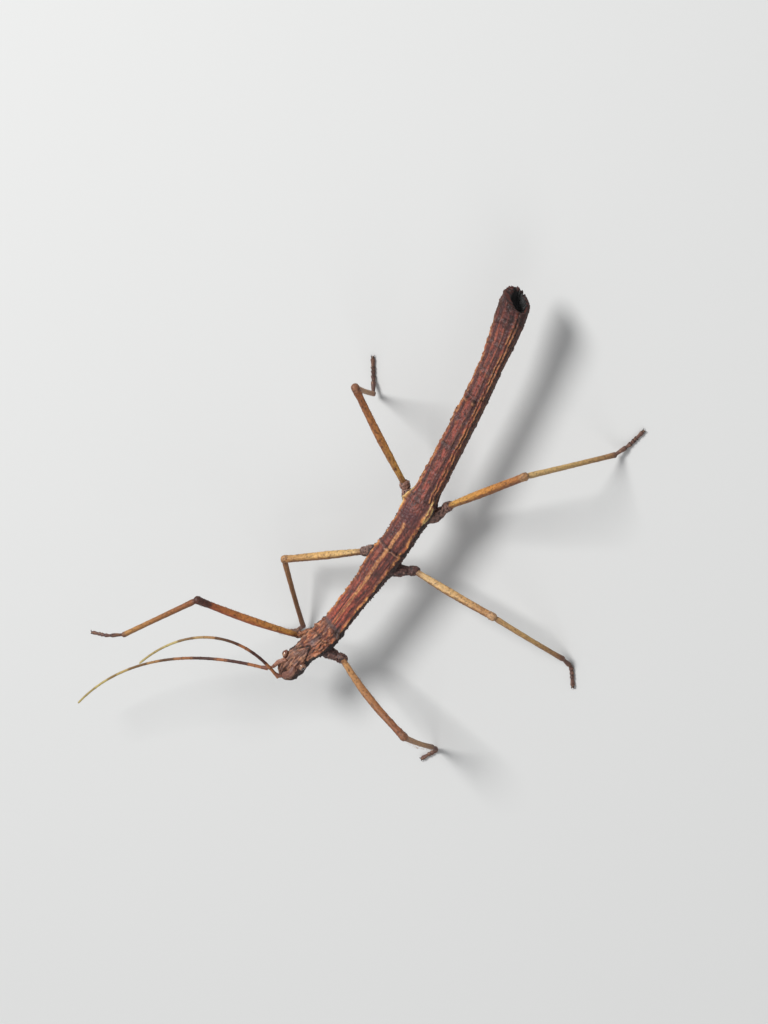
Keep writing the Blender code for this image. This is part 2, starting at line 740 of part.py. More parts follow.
def ball_mesh(centre, radius, segments=12, rings=8):
    mesh = bpy.data.meshes.new("ball")
    form = bmesh.new()
    bmesh.ops.create_uvsphere(form, u_segments=segments, v_segments=rings, radius=radius * MM)
    bmesh.ops.translate(form, verts=form.verts, vec=centre * MM)
    form.to_mesh(mesh)
    form.free()
    return mesh


def build_eyes(parent):
    """Round eyes, each in a socket cut a gap wider in the side of the head."""
    head = bpy.data.objects["head"]
    for name in EYES:
        centre = eye_centre(name)
        add_object("eye_" + name, ball_mesh(centre, EYE_RADIUS), "eye", parent)
        socket = add_object("socket_" + name, ball_mesh(centre, EYE_RADIUS + GAP), "dark", parent)
        socket.hide_render = True
        socket.display_type = "WIRE"
        cut = head.modifiers.new("socket_" + name, "BOOLEAN")
        cut.operation = "DIFFERENCE"
        cut.object = socket


def centre_on_floor(parent):
    """Moves the whole insect so that its bounding box is centred over the origin."""
    xs, ys = [], []
    for piece in parent.children:
        if not piece.hide_render:
            xs += [vertex.co.x for vertex in piece.data.vertices]
            ys += [vertex.co.y for vertex in piece.data.vertices]
    parent.location = (-(min(xs) + max(xs)) / 2, -(min(ys) + max(ys)) / 2, 0)


def main():
    clear_scene()
    insect = bpy.data.objects.new("insect", None)
    bpy.context.scene.collection.objects.link(insect)
    build_body(insect)
    build_eyes(insect)
    for name in ANTENNAE:
        build_antenna(name, insect)
    for name in LEGS:
        build_leg(name, insect)
    centre_on_floor(insect)


main()
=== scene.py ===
"""The looks of the stick insect: one bark-like skin, feelers, eyes, claws and hairs, on a pale floor.

Sizes below are in millimetres and angles in degrees. The body runs along +Y from the head to the tail.
"""
import math

import bpy
import numpy as np
from mathutils import Euler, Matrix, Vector, noise


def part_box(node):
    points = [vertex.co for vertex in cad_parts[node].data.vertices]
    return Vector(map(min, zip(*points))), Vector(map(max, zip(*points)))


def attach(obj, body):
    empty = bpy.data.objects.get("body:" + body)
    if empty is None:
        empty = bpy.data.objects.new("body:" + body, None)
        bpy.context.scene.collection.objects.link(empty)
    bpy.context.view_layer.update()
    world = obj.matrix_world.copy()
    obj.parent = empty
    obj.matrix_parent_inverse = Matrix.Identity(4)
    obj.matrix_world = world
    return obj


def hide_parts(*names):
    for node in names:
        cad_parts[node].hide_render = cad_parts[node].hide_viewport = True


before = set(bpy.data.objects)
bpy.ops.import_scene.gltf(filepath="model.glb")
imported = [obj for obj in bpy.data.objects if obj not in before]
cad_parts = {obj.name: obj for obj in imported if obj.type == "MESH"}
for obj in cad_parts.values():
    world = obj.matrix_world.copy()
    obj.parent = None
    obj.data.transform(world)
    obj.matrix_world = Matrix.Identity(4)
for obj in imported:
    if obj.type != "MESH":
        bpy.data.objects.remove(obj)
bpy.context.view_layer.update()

MM = 0.001

# The body's form, as in the solids
BODY_START = (-2.85, -29.5, 10.2)
HEAD_LIFT = 1.0
HEAD_LIFT_LENGTH = 50.0
PATH_STEP = 0.2
SECTION_POWER = 2.3
BODY_HEADING = ((0, 9.5), (6, 8.5), (13, 8), (24, 3), (34, -1), (44, -6), (58, -6.5), (70, -11), (82, -17))
BODY_ROLL = ((0, 0), (30, 0), (55, -7), (82, -7))
HEAD_END = 7.4
PRONOTUM_END = 13.6
MESOTHORAX_END = 31.3
STRIPE_END = 36.7
THORAX_END = 41.5
BODY_END = 80.0
THORAX_BORDERS = (PRONOTUM_END, MESOTHORAX_END)
ABDOMEN_BORDERS = (THORAX_END, 46.7, 51.9, 56.9, 61.2, 66.3, 71.1, 75.1)
BODY_SHIFT = (
    (0, 0.1), (5, -0.1), (8, 0.3), (12, 0.65), (15, 0.5), (18, 0.3), (24, 0.2), (28, 0), (32, 0.28),
    (70, 0.25), (80, 0.15),
)
HALF_WIDTH = (
    (0, 0.95), (0.5, 1.5), (1.4, 1.9), (3.0, 1.98), (4.6, 1.85), (5.6, 1.75), (6.4, 1.95), (11.5, 2.2),
    (13.6, 1.95), (20, 1.98), (25, 2.25), (29, 2.5), (31.5, 2.4), (36, 2.45), (40, 2.6), (43, 2.05),
    (52, 1.95), (67, 1.85), (72, 2.25), (76, 2.5), (78.5, 2.35), (82, 2.0),
)
HALF_HEIGHT = (
    (0, 0.75), (0.5, 1.15), (1.4, 1.45), (3.5, 1.7), (5.6, 1.55), (8, 1.85), (12, 1.95), (14, 1.8),
    (28, 2.1), (39, 2.1), (43, 1.75), (62, 1.65), (67, 1.6), (72, 1.8), (78, 2.0), (82, 1.8),
)

# Lobes over the hips: distance, height and length
LOBES = ((8.8, 0.3, 1.3), (27.8, 0.5, 1.7), (39.2, 0.4, 1.5))
LOBE_ANGLE = 104

# Marks of the skin by angle and distance. The ridges of the abdomen have an angle and a width each.
CARINA_ANGLE = 52
LOW_RIDGE_ANGLE = 80
BAND_LINE_ANGLE = 15
ABDOMEN_RIDGES = ((42, 3.4), (55, 3.4), (68, 3.2))
CREASE_DISTANCE = 6.1
PIT_DISTANCE = 7.8
PIT_ANGLE = 8
NOTCH_DISTANCE = 8.3
GROOVE_DISTANCE = 10.8
FURROW_ANGLES = (10, 27, 44)
FLAP_DISTANCE = 40.0
FLAP_ANGLE = 60

# Humps of the abdomen: distance and height
HUMPS = ((60.2, 0.6), (56.0, 0.18), (65.4, 0.18))
HUMP_ANGLE = 19

# Both ends of the body, and the eyes by distance, place to the side and height
TAIL_HOLLOW_DEPTH = 4.0
TAIL_HOLLOW_SHIFT = 0.4
TAIL_RIM_TILT = 3.0
TAIL_RIM_TURN = 60
EYES = {"left": (4.4, 1.65, 1.2), "right": (3.7, -1.9, 1.2)}
EYE_RADIUS = 0.6
ORBIT_SIZE = 0.96
ORBIT_RIM = 0.15
NOSE_RINGS = (0.05, 0.45, 0.75, 0.93)
NOSE_LENGTH = 0.3

# Soft swellings and hollows of the skin: height, distance and length, angle and width
BODY_SWELLINGS = {
    "middle furrow": (-0.12, 9.6, 1.6, 0, 4),
    "front pads": (0.16, 9.4, 1.0, 24, 8),
    "rear pads": (0.14, 12.3, 0.9, 20, 7),
    "flaps": (0.22, FLAP_DISTANCE, 1.7, FLAP_ANGLE, 14),
    "pit behind the hump": (-0.24, HUMPS[0][0] + 0.65, 0.32, 0, 24),
}
HEAD_SWELLINGS = {
    "brows": (0.2, 5.1, 0.9, 36, 12),
    "crown ridges": (0.17, 4.4, 1.4, 20, 6),
    "crown furrow": (-0.16, 4.6, 1.8, 0, 6),
    "nape": (0.14, 6.6, 0.6, 0, 7),
    "front hollow": (-0.34, 1.5, 0.8, 0, 18),
    "cheeks": (0.12, 4.6, 1.4, 100, 26),
}

# Rings of the tail's hollow: share of its depth, size, and share of its shift to the side
HOLLOW_RINGS = (
    (0.0, 0.93, 0.1), (0.02, 0.84, 0.3), (0.0, 0.76, 0.6), (0.03, 0.69, 0.8), (0.04, 0.62, 1), (0.1, 0.6, 1),
    (0.25, 0.58, 1), (0.45, 0.54, 1), (0.62, 0.46, 1), (0.72, 0.3, 1), (0.73, 0.04, 1),
)

# Antennae, as in the solids
SCAPE_LIFT = 0.7
SCAPE_HALF_THICKNESS = 0.3
FLAGELLUM_RADIUS = 0.28
FLAGELLUM_TIP_RADIUS = 0.17
ANTENNAE = {
    "right": {
        "root": (2.7, -38),
        "scape_width": 0.34,
        "scape_colour": (164, 114, 94),
        "scape_end": (-4.75, -29.0, 12.55),
        "curve": ((-5.24, -29.83, 12.45), (-19.0, -34.5, 17.9), (-27.8, -47.3, 14.3), (-30.95, -60.4, 10.0)),
    },
    "left": {
        "root": (3.0, 30),
        "scape_width": 0.58,
        "scape_colour": (116, 78, 66),
        "scape_end": (-2.35, -28.9, 12.82),
        "curve": ((-2.85, -29.6, 12.85), (-11.6, -23.7, 19.3), (-19.3, -30.1, 20.8), (-22.0, -40.5, 21.0)),
    },
}

# Legs, as in the solids
LEG_LENGTHS = {
    "front": (19.7, 15.9, 2.8, 3.3),
    "mid": (15.8, 14.1, 2.5, 3.2),
    "hind": (19.6, 17.7, 2.8, 3.3),
}
COXA_DISTANCE = {"front": 8.8, "mid": 27.8, "hind": 39.2}
COXA_ANGLE = 112
TIBIA_BOW = 0.15
TARSUS_HEIGHT = 0.34
LEGS = {
    "front_right": {
        "side": -1, "hip": (6.4, 3.05, 1.35), "femur": (-90.4, 45.6), "tibia": -151.8, "rise": -0.7,
        "tarsus": (-125.4, -123.2), "tarsus_rise": (37.4, -12.8), "bow": 0.5, "hip_size": 0.64,
        "femur_colours": ((204, 146, 76), (190, 120, 62), (130, 66, 44)), "knee_colour": (56, 38, 33),
        "knee_length": 2.9,
        "tibia_colours": ((130, 78, 44), (150, 100, 54), (168, 122, 68)),
        # the last colour here is the femur's painted shade on its side away from the light
        "hip_colour": (150, 94, 62), "shade_colour": (146, 66, 34),
    },
    "front_left": {
        "side": 1, "hip": (9.8, 5.2, 1.0), "femur": (88.9, 23.1), "tibia": 166.0, "ankle": 2.9,
        "tarsus": (157.4, -157.4), "bow": 1.0,
        "femur_colours": ((178, 132, 84), (152, 102, 62), (126, 78, 52)), "knee_colour": (136, 94, 68),
        "tibia_colours": ((160, 112, 68), (168, 124, 76), (130, 92, 60)),
        "hip_colour": (84, 56, 50),
    },
    "mid_right": {
        "side": -1, "hip": (26.1, 3.9, 2.0), "femur": (-135.2, -3.4), "tibia": 144.0, "ankle": 1.6,
        "tarsus": (-158.8, -133.1), "bow": 0.3,
        "femur_colours": ((204, 168, 110), (200, 158, 98), (170, 126, 76)), "knee_colour": (166, 124, 84),
        "tibia_colours": ((144, 102, 66), (124, 86, 56), (104, 70, 50)),
        "hip_colour": (116, 88, 78),
    },
    "mid_left": {
        "side": 1, "hip": (29.5, 5.0, 1.85), "femur": (78.5, 3.2), "tibia": 95.8, "ankle": 2.0,
        "tarsus": (117.8, 140.3), "bow": 0.3,
        "femur_colours": ((206, 172, 122), (198, 158, 104), (172, 126, 82)), "knee_colour": (184, 146, 108),
        "tibia_colours": ((192, 152, 102), (180, 144, 90), (126, 92, 66)),
        "hip_colour": (84, 54, 50),
    },
    "hind_right": {
        "side": -1, "hip": (40.9, 4.0, 0.7), "femur": (-50.3, 25.7), "tibia": -162.6, "ankle": 1.6,
        "tarsus": (-48.1, -36.4), "bow": 0.35,
        "femur_colours": ((200, 150, 76), (188, 124, 66), (146, 90, 56)), "knee_colour": (142, 98, 72),
        "tibia_colours": ((168, 118, 78), (178, 132, 84), (148, 100, 72)),
        "hip_colour": (140, 100, 86),
    },
    "hind_left": {
        "side": 1, "hip": (42.1, 4.2, 1.05), "femur": (31.6, 21.5), "tibia": 44.5, "ankle": 1.45,
        "tarsus": (17.5, 10.6), "bow": 0.3,
        "femur_colours": ((200, 152, 82), (188, 128, 62), (158, 102, 56)), "knee_colour": (166, 126, 88),
        "tibia_colours": ((204, 168, 112), (192, 156, 98), (154, 114, 78)),
        "hip_colour": (112, 80, 70),
    },
}
TARSOMERES = (0.0, 0.36, 0.53, 0.66, 0.76, 1.0)
RAISED_FOOT_SIZE = 0.86
FLOOR_CLEARANCE = 0.004

# Radius at shares of a hip's length, and along a femur and a tibia
HIP_PROFILE = (
    (0, 1.1), (0.3, 1.08), (0.42, 1.0), (0.55, 0.86), (0.66, 0.74), (0.8, 0.84), (0.9, 0.8), (0.97, 0.62),
    (1.0, 0.3),
)
FEMUR_SHARES = (0, 0.05, 0.14, 0.28, 0.45, 0.62, 0.76, 0.88, 0.95)
FEMUR_RADII = (0.42, 0.5, 0.52, 0.6, 0.66, 0.63, 0.6, 0.57, 0.64, 0.7, 0.58, 0.12)
TIBIA_SHARES = (0.18, 0.4, 0.62, 0.84)
TIBIA_RADII = (0.32, 0.45, 0.49, 0.45, 0.42, 0.4, 0.41, 0.44, 0.47, 0.38, 0.1)

# Finish of the skin
RING_STEP = 0.1
COLUMNS = 168
RANDOM = np.random.default_rng(27)
# The side of each limb on which shade is painted, away from the light
SHADE_SIDE = (0.62, -0.76, 0.17)

# Knobs of the body: how many, from which angle to which, least and greatest height
KNOB_GROUPS = (
    (900, 60, 125, 0.05, 0.16), (420, 44, 60, 0.05, 0.12), (320, 0, 40, 0.03, 0.07),
    (200, 125, 180, 0.03, 0.07),
)
FLANK_SPINES = 170
SPINE_REACH = (8.0, 76.0)
HIP_KNOBS = 26
KNEE_KNOBS = 9
FEMUR_TEETH = 15
FEMUR_TOOTH_ANGLES = (-62, -118)
TIBIA_TEETH = 16
TIBIA_TOOTH_ANGLES = (-60, -120)

# Hairs: how many, how long and how wide, after the radius on a femur and a tibia
HAIR_TOP = 25.3
HAIR_WIDTH = 0.022
FEMUR_HAIRS = (0.62, 150, 0.2)
TIBIA_HAIRS = (0.38, 190, 0.24)
FOOT_HAIRS = (110, 0.2)
ANTENNA_HAIRS = (330, 0.15, 0.018)

# Horny surfaces: roughness, fineness of the grain, depth of the bump and contrast
FINISHES = {
    "cuticle": (0.5, 2600.0, 0.09, 0.35),
    "feeler": (0.5, 3600.0, 0.04, 0.2),
    "claw": (0.3, 4000.0, 0.02, 0.15),
    "bristle": (0.45, 5000.0, 0.01, 0.2),
}

# Colours as seen, 0 to 255
PURPLE = (84, 48, 44)
RUST = (134, 68, 54)
BRIGHT_RUST = (164, 86, 58)
FRESH_RUST = (176, 84, 64)
ROSE = (142, 70, 60)
MAROON = (70, 38, 38)
DUSK = (78, 44, 46)
WAIST_DUSK = (76, 44, 46)
DARK_RED = (88, 42, 36)
DARK = (56, 33, 29)
BLACKISH = (34, 24, 22)
TAN = (196, 142, 90)
BRIGHT_TAN = (208, 152, 92)
RIDGE_TAN = (180, 116, 68)
LOW_RIDGE_TAN = (138, 92, 56)
LINE_BROWN = (150, 92, 62)
GAP_BROWN = (70, 42, 34)
ORANGE = (190, 116, 60)
BROWN = (116, 72, 52)
GREY_BROWN = (116, 88, 76)
PALE_YELLOW = (222, 192, 124)
LILAC = (128, 102, 98)
UNDERSIDE = (92, 62, 50)
STRIPE_COLOURS = ((188, 132, 84), (148, 92, 62))
CROWN_COLOURS = ((104, 68, 56), (160, 112, 90))
COLLAR_COLOURS = ((106, 58, 46), (170, 100, 66))
JOINT_PALE = (176, 130, 100)
FLAP_PINK = (176, 104, 84)
HUMP_CREST = (190, 132, 92)
TAIL_MAROON = (66, 29, 26)
TAIL_BLACK = (40, 25, 22)
RIM_COLOURS = ((90, 44, 36), (34, 23, 20))
# painted shade inside the tail's hollow
HOLLOW_SHADE = (6, 4, 4)
# painted highlight on the tops of the head's ridges
RIDGE_HIGHLIGHT = (198, 144, 108)
SLATE = (114, 96, 94)
DEEP_SLATE = (102, 92, 94)
TEMPLE_ORANGE = (172, 112, 80)
COLLAR_GREY = (72, 58, 58)
KNOB_PINK = (176, 128, 104)
SPINE_BROWN = (92, 52, 40)
MOUTH_BROWN = (98, 62, 48)
ORBIT_BROWN = (112, 76, 62)
EYE_COLOURS = {"left": ((170, 130, 102), (122, 82, 62)), "right": ((122, 68, 52), (84, 46, 38))}
# painted highlight on the top of the right eye
EYE_HIGHLIGHT = (178, 142, 112)
PUPIL_RIM = (96, 50, 38)
PUPIL = (24, 14, 12)
EYE_BACK = (88, 56, 44)
HIP_SPECKS = (144, 110, 94)
# painted shade of the femora: on the underside, and on the side away from the light
FEMUR_UNDER_SHADE = (138, 70, 38)
FEMUR_SHADE = (104, 60, 36)
FEMUR_STREAKS = (132, 78, 44)
FEMUR_ROOT = (112, 72, 52)
TIBIA_STREAKS = (120, 80, 48)
# painted shade of the tibiae on the side away from the light
TIBIA_SHADE = (116, 76, 46)
FOOT_PALE = (150, 112, 84)
PAD_COLOUR = (120, 92, 74)
SCAPE_SPOTS = (100, 62, 52)
SCAPE_STREAKS = (172, 126, 100)
PEDICEL_COLOUR = (118, 74, 58)
DARK_BANDS = ((74, 40, 30), (118, 88, 52))
PALE_BANDS = ((166, 106, 64), (178, 160, 102))
RING_BROWN = (54, 32, 26)
HAIR_COLOUR = (158, 118, 84)
FOOT_COLOUR = (96, 66, 58)
CLAW_COLOUR = (48, 28, 22)
TOOTH_COLOUR = (52, 28, 24)

# Stage, in metres
FLOOR_HALF = 1.5
FLOOR_TINT = (0.6, 0.6, 0.59, 1.0)
FLOOR_ROUGHNESS = 0.85
SKY_TINT = (0.95, 0.97, 1.0, 1.0)
SKY_STRENGTH = 0.4
LIGHTS = {"key": ((-0.42, 0.12, 0.62), 0.3, 5.4), "fill": ((0.5, -0.35, 0.5), 0.5, 1.2)}
LIT_PLACE = Vector((0, 0, 0.01))

# Camera: the photo's direction, worked out from its joints
CAMERA_PLACE = (141.16, 241.51, 530.84)
CAMERA_TURN = (-11.046, 25.971, 34.405)
CAMERA_LENS = 126.6
SENSOR = 36.0


def linear(colour):
    """A seen colour of 0 to 255 as scene-linear red, green and blue."""
    c = np.asarray(colour, float) / 255
    return np.where(c <= 0.04045, c / 12.92, ((c + 0.055) / 1.055) ** 2.4)


def mix(a, b, amount):
    """Blends colours a and b by an array of amounts."""
    amount = np.clip(amount, 0, 1)[..., None]
    return np.asarray(a) * (1 - amount) + np.asarray(b) * amount


def between(first, second, amount):
    """Blends two seen colours by an array of amounts."""
    return mix(linear(first), linear(second), amount)


def painted(colour, coats):
    """Lays seen colours over a base one after the other, each by its own array of amounts."""
    for seen, amount in coats:
        colour = mix(colour, linear(seen), amount)
    return colour


def bell(value, centre, spread):
    return np.exp(-((value - centre) / spread) ** 2)


def smooth(low, high, value):
    t = np.clip((value - low) / (high - low), 0, 1)
    return t * t * (3 - 2 * t)


def full_turn(count):
    """Evenly spaced angles all round, in radians."""
    return 2 * np.pi * np.arange(count) / count


def fractal(points, octaves, seed):
    """Smooth noise between about -1 and 1 at each point of an array."""
    flat = np.asarray(points, float).reshape(-1, 3) + seed
    values = [noise.fractal(Vector(p), 1.0, 2.0, octaves) for p in flat.tolist()]
    return np.array(values).reshape(np.asarray(points).shape[:-1])


def read_table(rows, distance):
    rows = np.asarray(rows, float)
    return np.interp(distance, rows[:, 0], rows[:, 1])


def make_centreline():
    """Distances along the body and the places of its centreline there."""
    steps = np.arange(0, 83, PATH_STEP)
    heading = np.radians(read_table(BODY_HEADING, steps + PATH_STEP / 2))
    x = BODY_START[0] + np.concatenate([[0], np.cumsum(np.sin(heading) * PATH_STEP)])[:-1]
    y = BODY_START[1] + np.concatenate([[0], np.cumsum(np.cos(heading) * PATH_STEP)])[:-1]
    return steps, x, y


LINE_STEPS, LINE_X, LINE_Y = make_centreline()


def body_frame(distance):
    """Centre, side, up and rearward directions of the body at an array of distances."""
    distance = np.asarray(distance, float)
    heading = np.radians(read_table(BODY_HEADING, distance))
    before = np.minimum(distance, 0)
    x = np.interp(distance, LINE_STEPS, LINE_X) + before * np.sin(heading)
    y = np.interp(distance, LINE_STEPS, LINE_Y) + before * np.cos(heading)
    z = BODY_START[2] + HEAD_LIFT * np.clip(1 - distance / HEAD_LIFT_LENGTH, 0, 1)
    zero = np.zeros_like(heading)
    centre = np.stack([x, y, z], -1)
    side = np.stack([np.cos(heading), -np.sin(heading), zero], -1)
    up = np.stack([zero, zero, zero + 1], -1)
    rear = np.stack([np.sin(heading), np.cos(heading), zero], -1)
    return centre, side, up, rear


def rolled_frame(distance):
    """The middle of the body itself, which sways and rolls a little about that line."""
    centre, side, up, rear = body_frame(distance)
    centre = centre + side * read_table(BODY_SHIFT, distance)[..., None]
    roll = np.radians(read_table(BODY_ROLL, distance))[..., None]
    rolled_side = side * np.cos(roll) - up * np.sin(roll)
    rolled_up = side * np.sin(roll) + up * np.cos(roll)
    return centre, rolled_side, rolled_up, rear


def body_points(distance, angle, relief=0.0, shrink=1.0):
    """Points on the body at an angle from the middle of the back, positive on the left."""
    centre, side, up, _ = rolled_frame(distance)
    turn = np.radians(angle)
    across, high = np.sin(turn), np.cos(turn)
    reach = (np.abs(across) ** SECTION_POWER + np.abs(high) ** SECTION_POWER) ** (-1 / SECTION_POWER)
    wide = read_table(HALF_WIDTH, distance) * reach * shrink + relief
    tall = read_table(HALF_HEIGHT, distance) * reach * shrink + relief
    return centre + side * (across * wide)[..., None] + up * (high * tall)[..., None]


def body_point(distance, angle, relief=0.0):
    return Vector(body_points(np.array([distance]), np.array([angle]), relief)[0])


def body_normal(distance, angle):
    along = body_point(distance + 0.5, angle) - body_point(distance - 0.5, angle)
    around = body_point(distance, angle + 8) - body_point(distance, angle - 8)
    return around.cross(along).normalized()


def link_object(name, data):
    item = bpy.data.objects.new(name, data)
    bpy.context.scene.collection.objects.link(item)
    return item


class Form:
    """Gathers grids, tubes and thorns with a colour at each point, and makes one mesh object of them."""

    def __init__(self):
        self.points, self.colours, self.faces, self.count = [], [], [], 0

    def add(self, points, colours, faces):
        points = np.asarray(points, float)
        colours = np.broadcast_to(np.asarray(colours, float), points.shape)
        points = points.reshape(-1, 3)
        self.points.append(points)
        self.colours.append(colours.reshape(-1, 3))
        self.faces += [[i + self.count for i in face] for face in faces]
        self.count += len(points)

    def add_grid(self, points, colours, wrap=False):
        """A tube of rings, as an array of rings by columns by 3, with closed ends or joined end to end."""
        rings, columns = points.shape[:2]
        i, j = np.meshgrid(np.arange(rings if wrap else rings - 1), np.arange(columns), indexing="ij")
        k = (j + 1) % columns
        after = (i + 1) % rings
        quads = np.stack([i * columns + j, after * columns + j, after * columns + k, i * columns + k], -1)
        faces = quads.reshape(-1, 4).tolist()
        if not wrap:
            faces.append(list(range(columns)))
            faces.append([(rings - 1) * columns + c for c in reversed(range(columns))])
        self.add(points, colours, faces)

    def add_thorns(self, roots, tips, radii, colours, sides, waist=0.45, point=0.08):
        """Tapered spikes from each root to each tip, with their sizes half way and at the point."""
        roots, tips = np.asarray(roots, float), np.asarray(tips, float)
        line = tips - roots
        length = np.linalg.norm(line, axis=1, keepdims=True)
        forward = line / np.maximum(length, 1e-6)
        helper = np.where(np.abs(forward[:, 2:3]) < 0.8, [[0.0, 0.0, 1.0]], [[1.0, 0.0, 0.0]])
        side = np.cross(forward, helper)
        side /= np.linalg.norm(side, axis=1, keepdims=True)
        up = np.cross(side, forward)
        radii = np.broadcast_to(np.asarray(radii, float), (len(roots),))[:, None]
        layers = []
        for t, size in ((0.0, 1.0), (0.5, waist), (1.0, point)):
            for c in range(sides):
                turn = 2 * math.pi * c / sides
                out = side * math.cos(turn) + up * math.sin(turn)
                layers.append(roots + line * t + out * radii * size)
        points = np.stack(layers, 1)
        faces = []
        for n in range(len(roots)):
            base = n * sides * 3
            for layer in (0, sides):
                for c in range(sides):
                    d = (c + 1) % sides
                    faces.append([base + layer + c, base + layer + sides + c,
                                  base + layer + sides + d, base + layer + d])
            faces.append([base + c for c in range(sides)])
            faces.append([base + 2 * sides + c for c in reversed(range(sides))])
        colours = np.broadcast_to(np.asarray(colours, float), (len(roots), 3))
        self.add(points, np.repeat(colours[:, None, :], sides * 3, axis=1), faces)

    def build(self, name, material):
        """The mesh object, with its colours in the attribute tint."""
        mesh = bpy.data.meshes.new(name)
        points = (np.concatenate(self.points) + OFFSET) * MM
        mesh.from_pydata(points.tolist(), [], self.faces)
        colours = np.concatenate(self.colours)
        layer = mesh.attributes.new("tint", "FLOAT_COLOR", "POINT")
        full = np.concatenate([colours, np.ones((len(colours), 1))], axis=1)
        layer.data.foreach_set("color", full.ravel())
        mesh.materials.append(material)
        mesh.shade_smooth()
        mesh.update()
        return link_object(name, mesh)


def path_frames(path):
    """A side and an up direction at each point of a path, carried along without twist."""
    forward = np.gradient(path, axis=0)
    forward /= np.linalg.norm(forward, axis=1, keepdims=True)
    side = np.cross(forward[0], [0.0, 0.0, 1.0])
    if np.linalg.norm(side) < 0.2:
        side = np.cross(forward[0], [1.0, 0.0, 0.0])
    sides = []
    for direction in forward:
        side = side - direction * side.dot(direction)
        side = side / np.linalg.norm(side)
        sides.append(side)
    sides = np.array(sides)
    return forward, sides, np.cross(sides, forward)


def sweep(path, radius, columns, shape=None, thin=1.0):
    """Rings round a path. The radius goes with the path, and shape is a relief array of rings by columns."""
    _, side, up = path_frames(path)
    turn = full_turn(columns)
    reach = np.broadcast_to(np.asarray(radius)[:, None], (len(path), columns))
    if shape is not None:
        reach = reach + shape
    across = side[:, None, :] * (reach * np.cos(turn))[..., None]
    high = up[:, None, :] * (reach * np.sin(turn) * thin)[..., None]
    return path[:, None, :] + across + high


def path_lengths(path):
    """The distance along a path up to each of its points."""
    return np.concatenate([[0], np.cumsum(np.linalg.norm(np.diff(path, axis=0), axis=1))])


def curve_through(points, count):
    """A smooth curve of evenly spaced points through a few given ones."""
    knots = np.asarray([tuple(point) for point in points], float)
    first = knots[0] * 2 - knots[1]
    last = knots[-1] * 2 - knots[-2]
    knots = np.vstack([first, knots, last])
    samples = []
    for a, b, c, d in zip(knots, knots[1:], knots[2:], knots[3:]):
        for t in np.linspace(0, 1, 40, endpoint=False):
            samples.append(0.5 * (2 * b + (c - a) * t + (2 * a - 5 * b + 4 * c - d) * t * t
                                  + (3 * b - a - 3 * c + d) * t ** 3))
    samples.append(knots[-2])
    samples = np.array(samples)
    lengths = path_lengths(samples)
    even = np.linspace(0, lengths[-1], count)
    return np.stack([np.interp(even, lengths, samples[:, k]) for k in range(3)], -1)


def blend_three(colours, t, columns):
    """Rings by columns of a colour that passes through three others along 0 to 1."""
    stops = np.array([linear(colour) for colour in colours])
    rings = np.stack([np.interp(t, (0.1, 0.55, 0.95), stops[:, k]) for k in range(3)], -1)
    return np.repeat(rings[:, None, :], columns, axis=1)


# Body

def scatter_knobs(distance, angle):
    """Height of the small pointed knobs: many on the flanks and ridges, fewer on the back."""
    knobs = np.zeros_like(distance)
    half_width = read_table(HALF_WIDTH, distance[:, 0])
    for count, low, high, least, most in KNOB_GROUPS:
        places = RANDOM.uniform(0.4, BODY_END - 1.5, count)
        turns = RANDOM.uniform(low, high, count) * RANDOM.choice([-1, 1], count)
        heights = RANDOM.uniform(least, most, count) * np.where(places > THORAX_END, 0.4, 1.0)
        for place, turn, height in zip(places, turns, heights):
            middle = int(np.searchsorted(distance[:, 0], place))
            rows = slice(max(0, middle - 4), middle + 5)
            around = (angle[rows] - turn + 180) % 360 - 180
            arc = np.radians(around) * half_width[min(middle, len(half_width) - 1)]
            far = ((distance[rows] - place) ** 2 + arc ** 2) / (0.1 + height * 0.9) ** 2
            knobs[rows] += height * np.clip(1 - far, 0, 1) ** 1.3
    return knobs


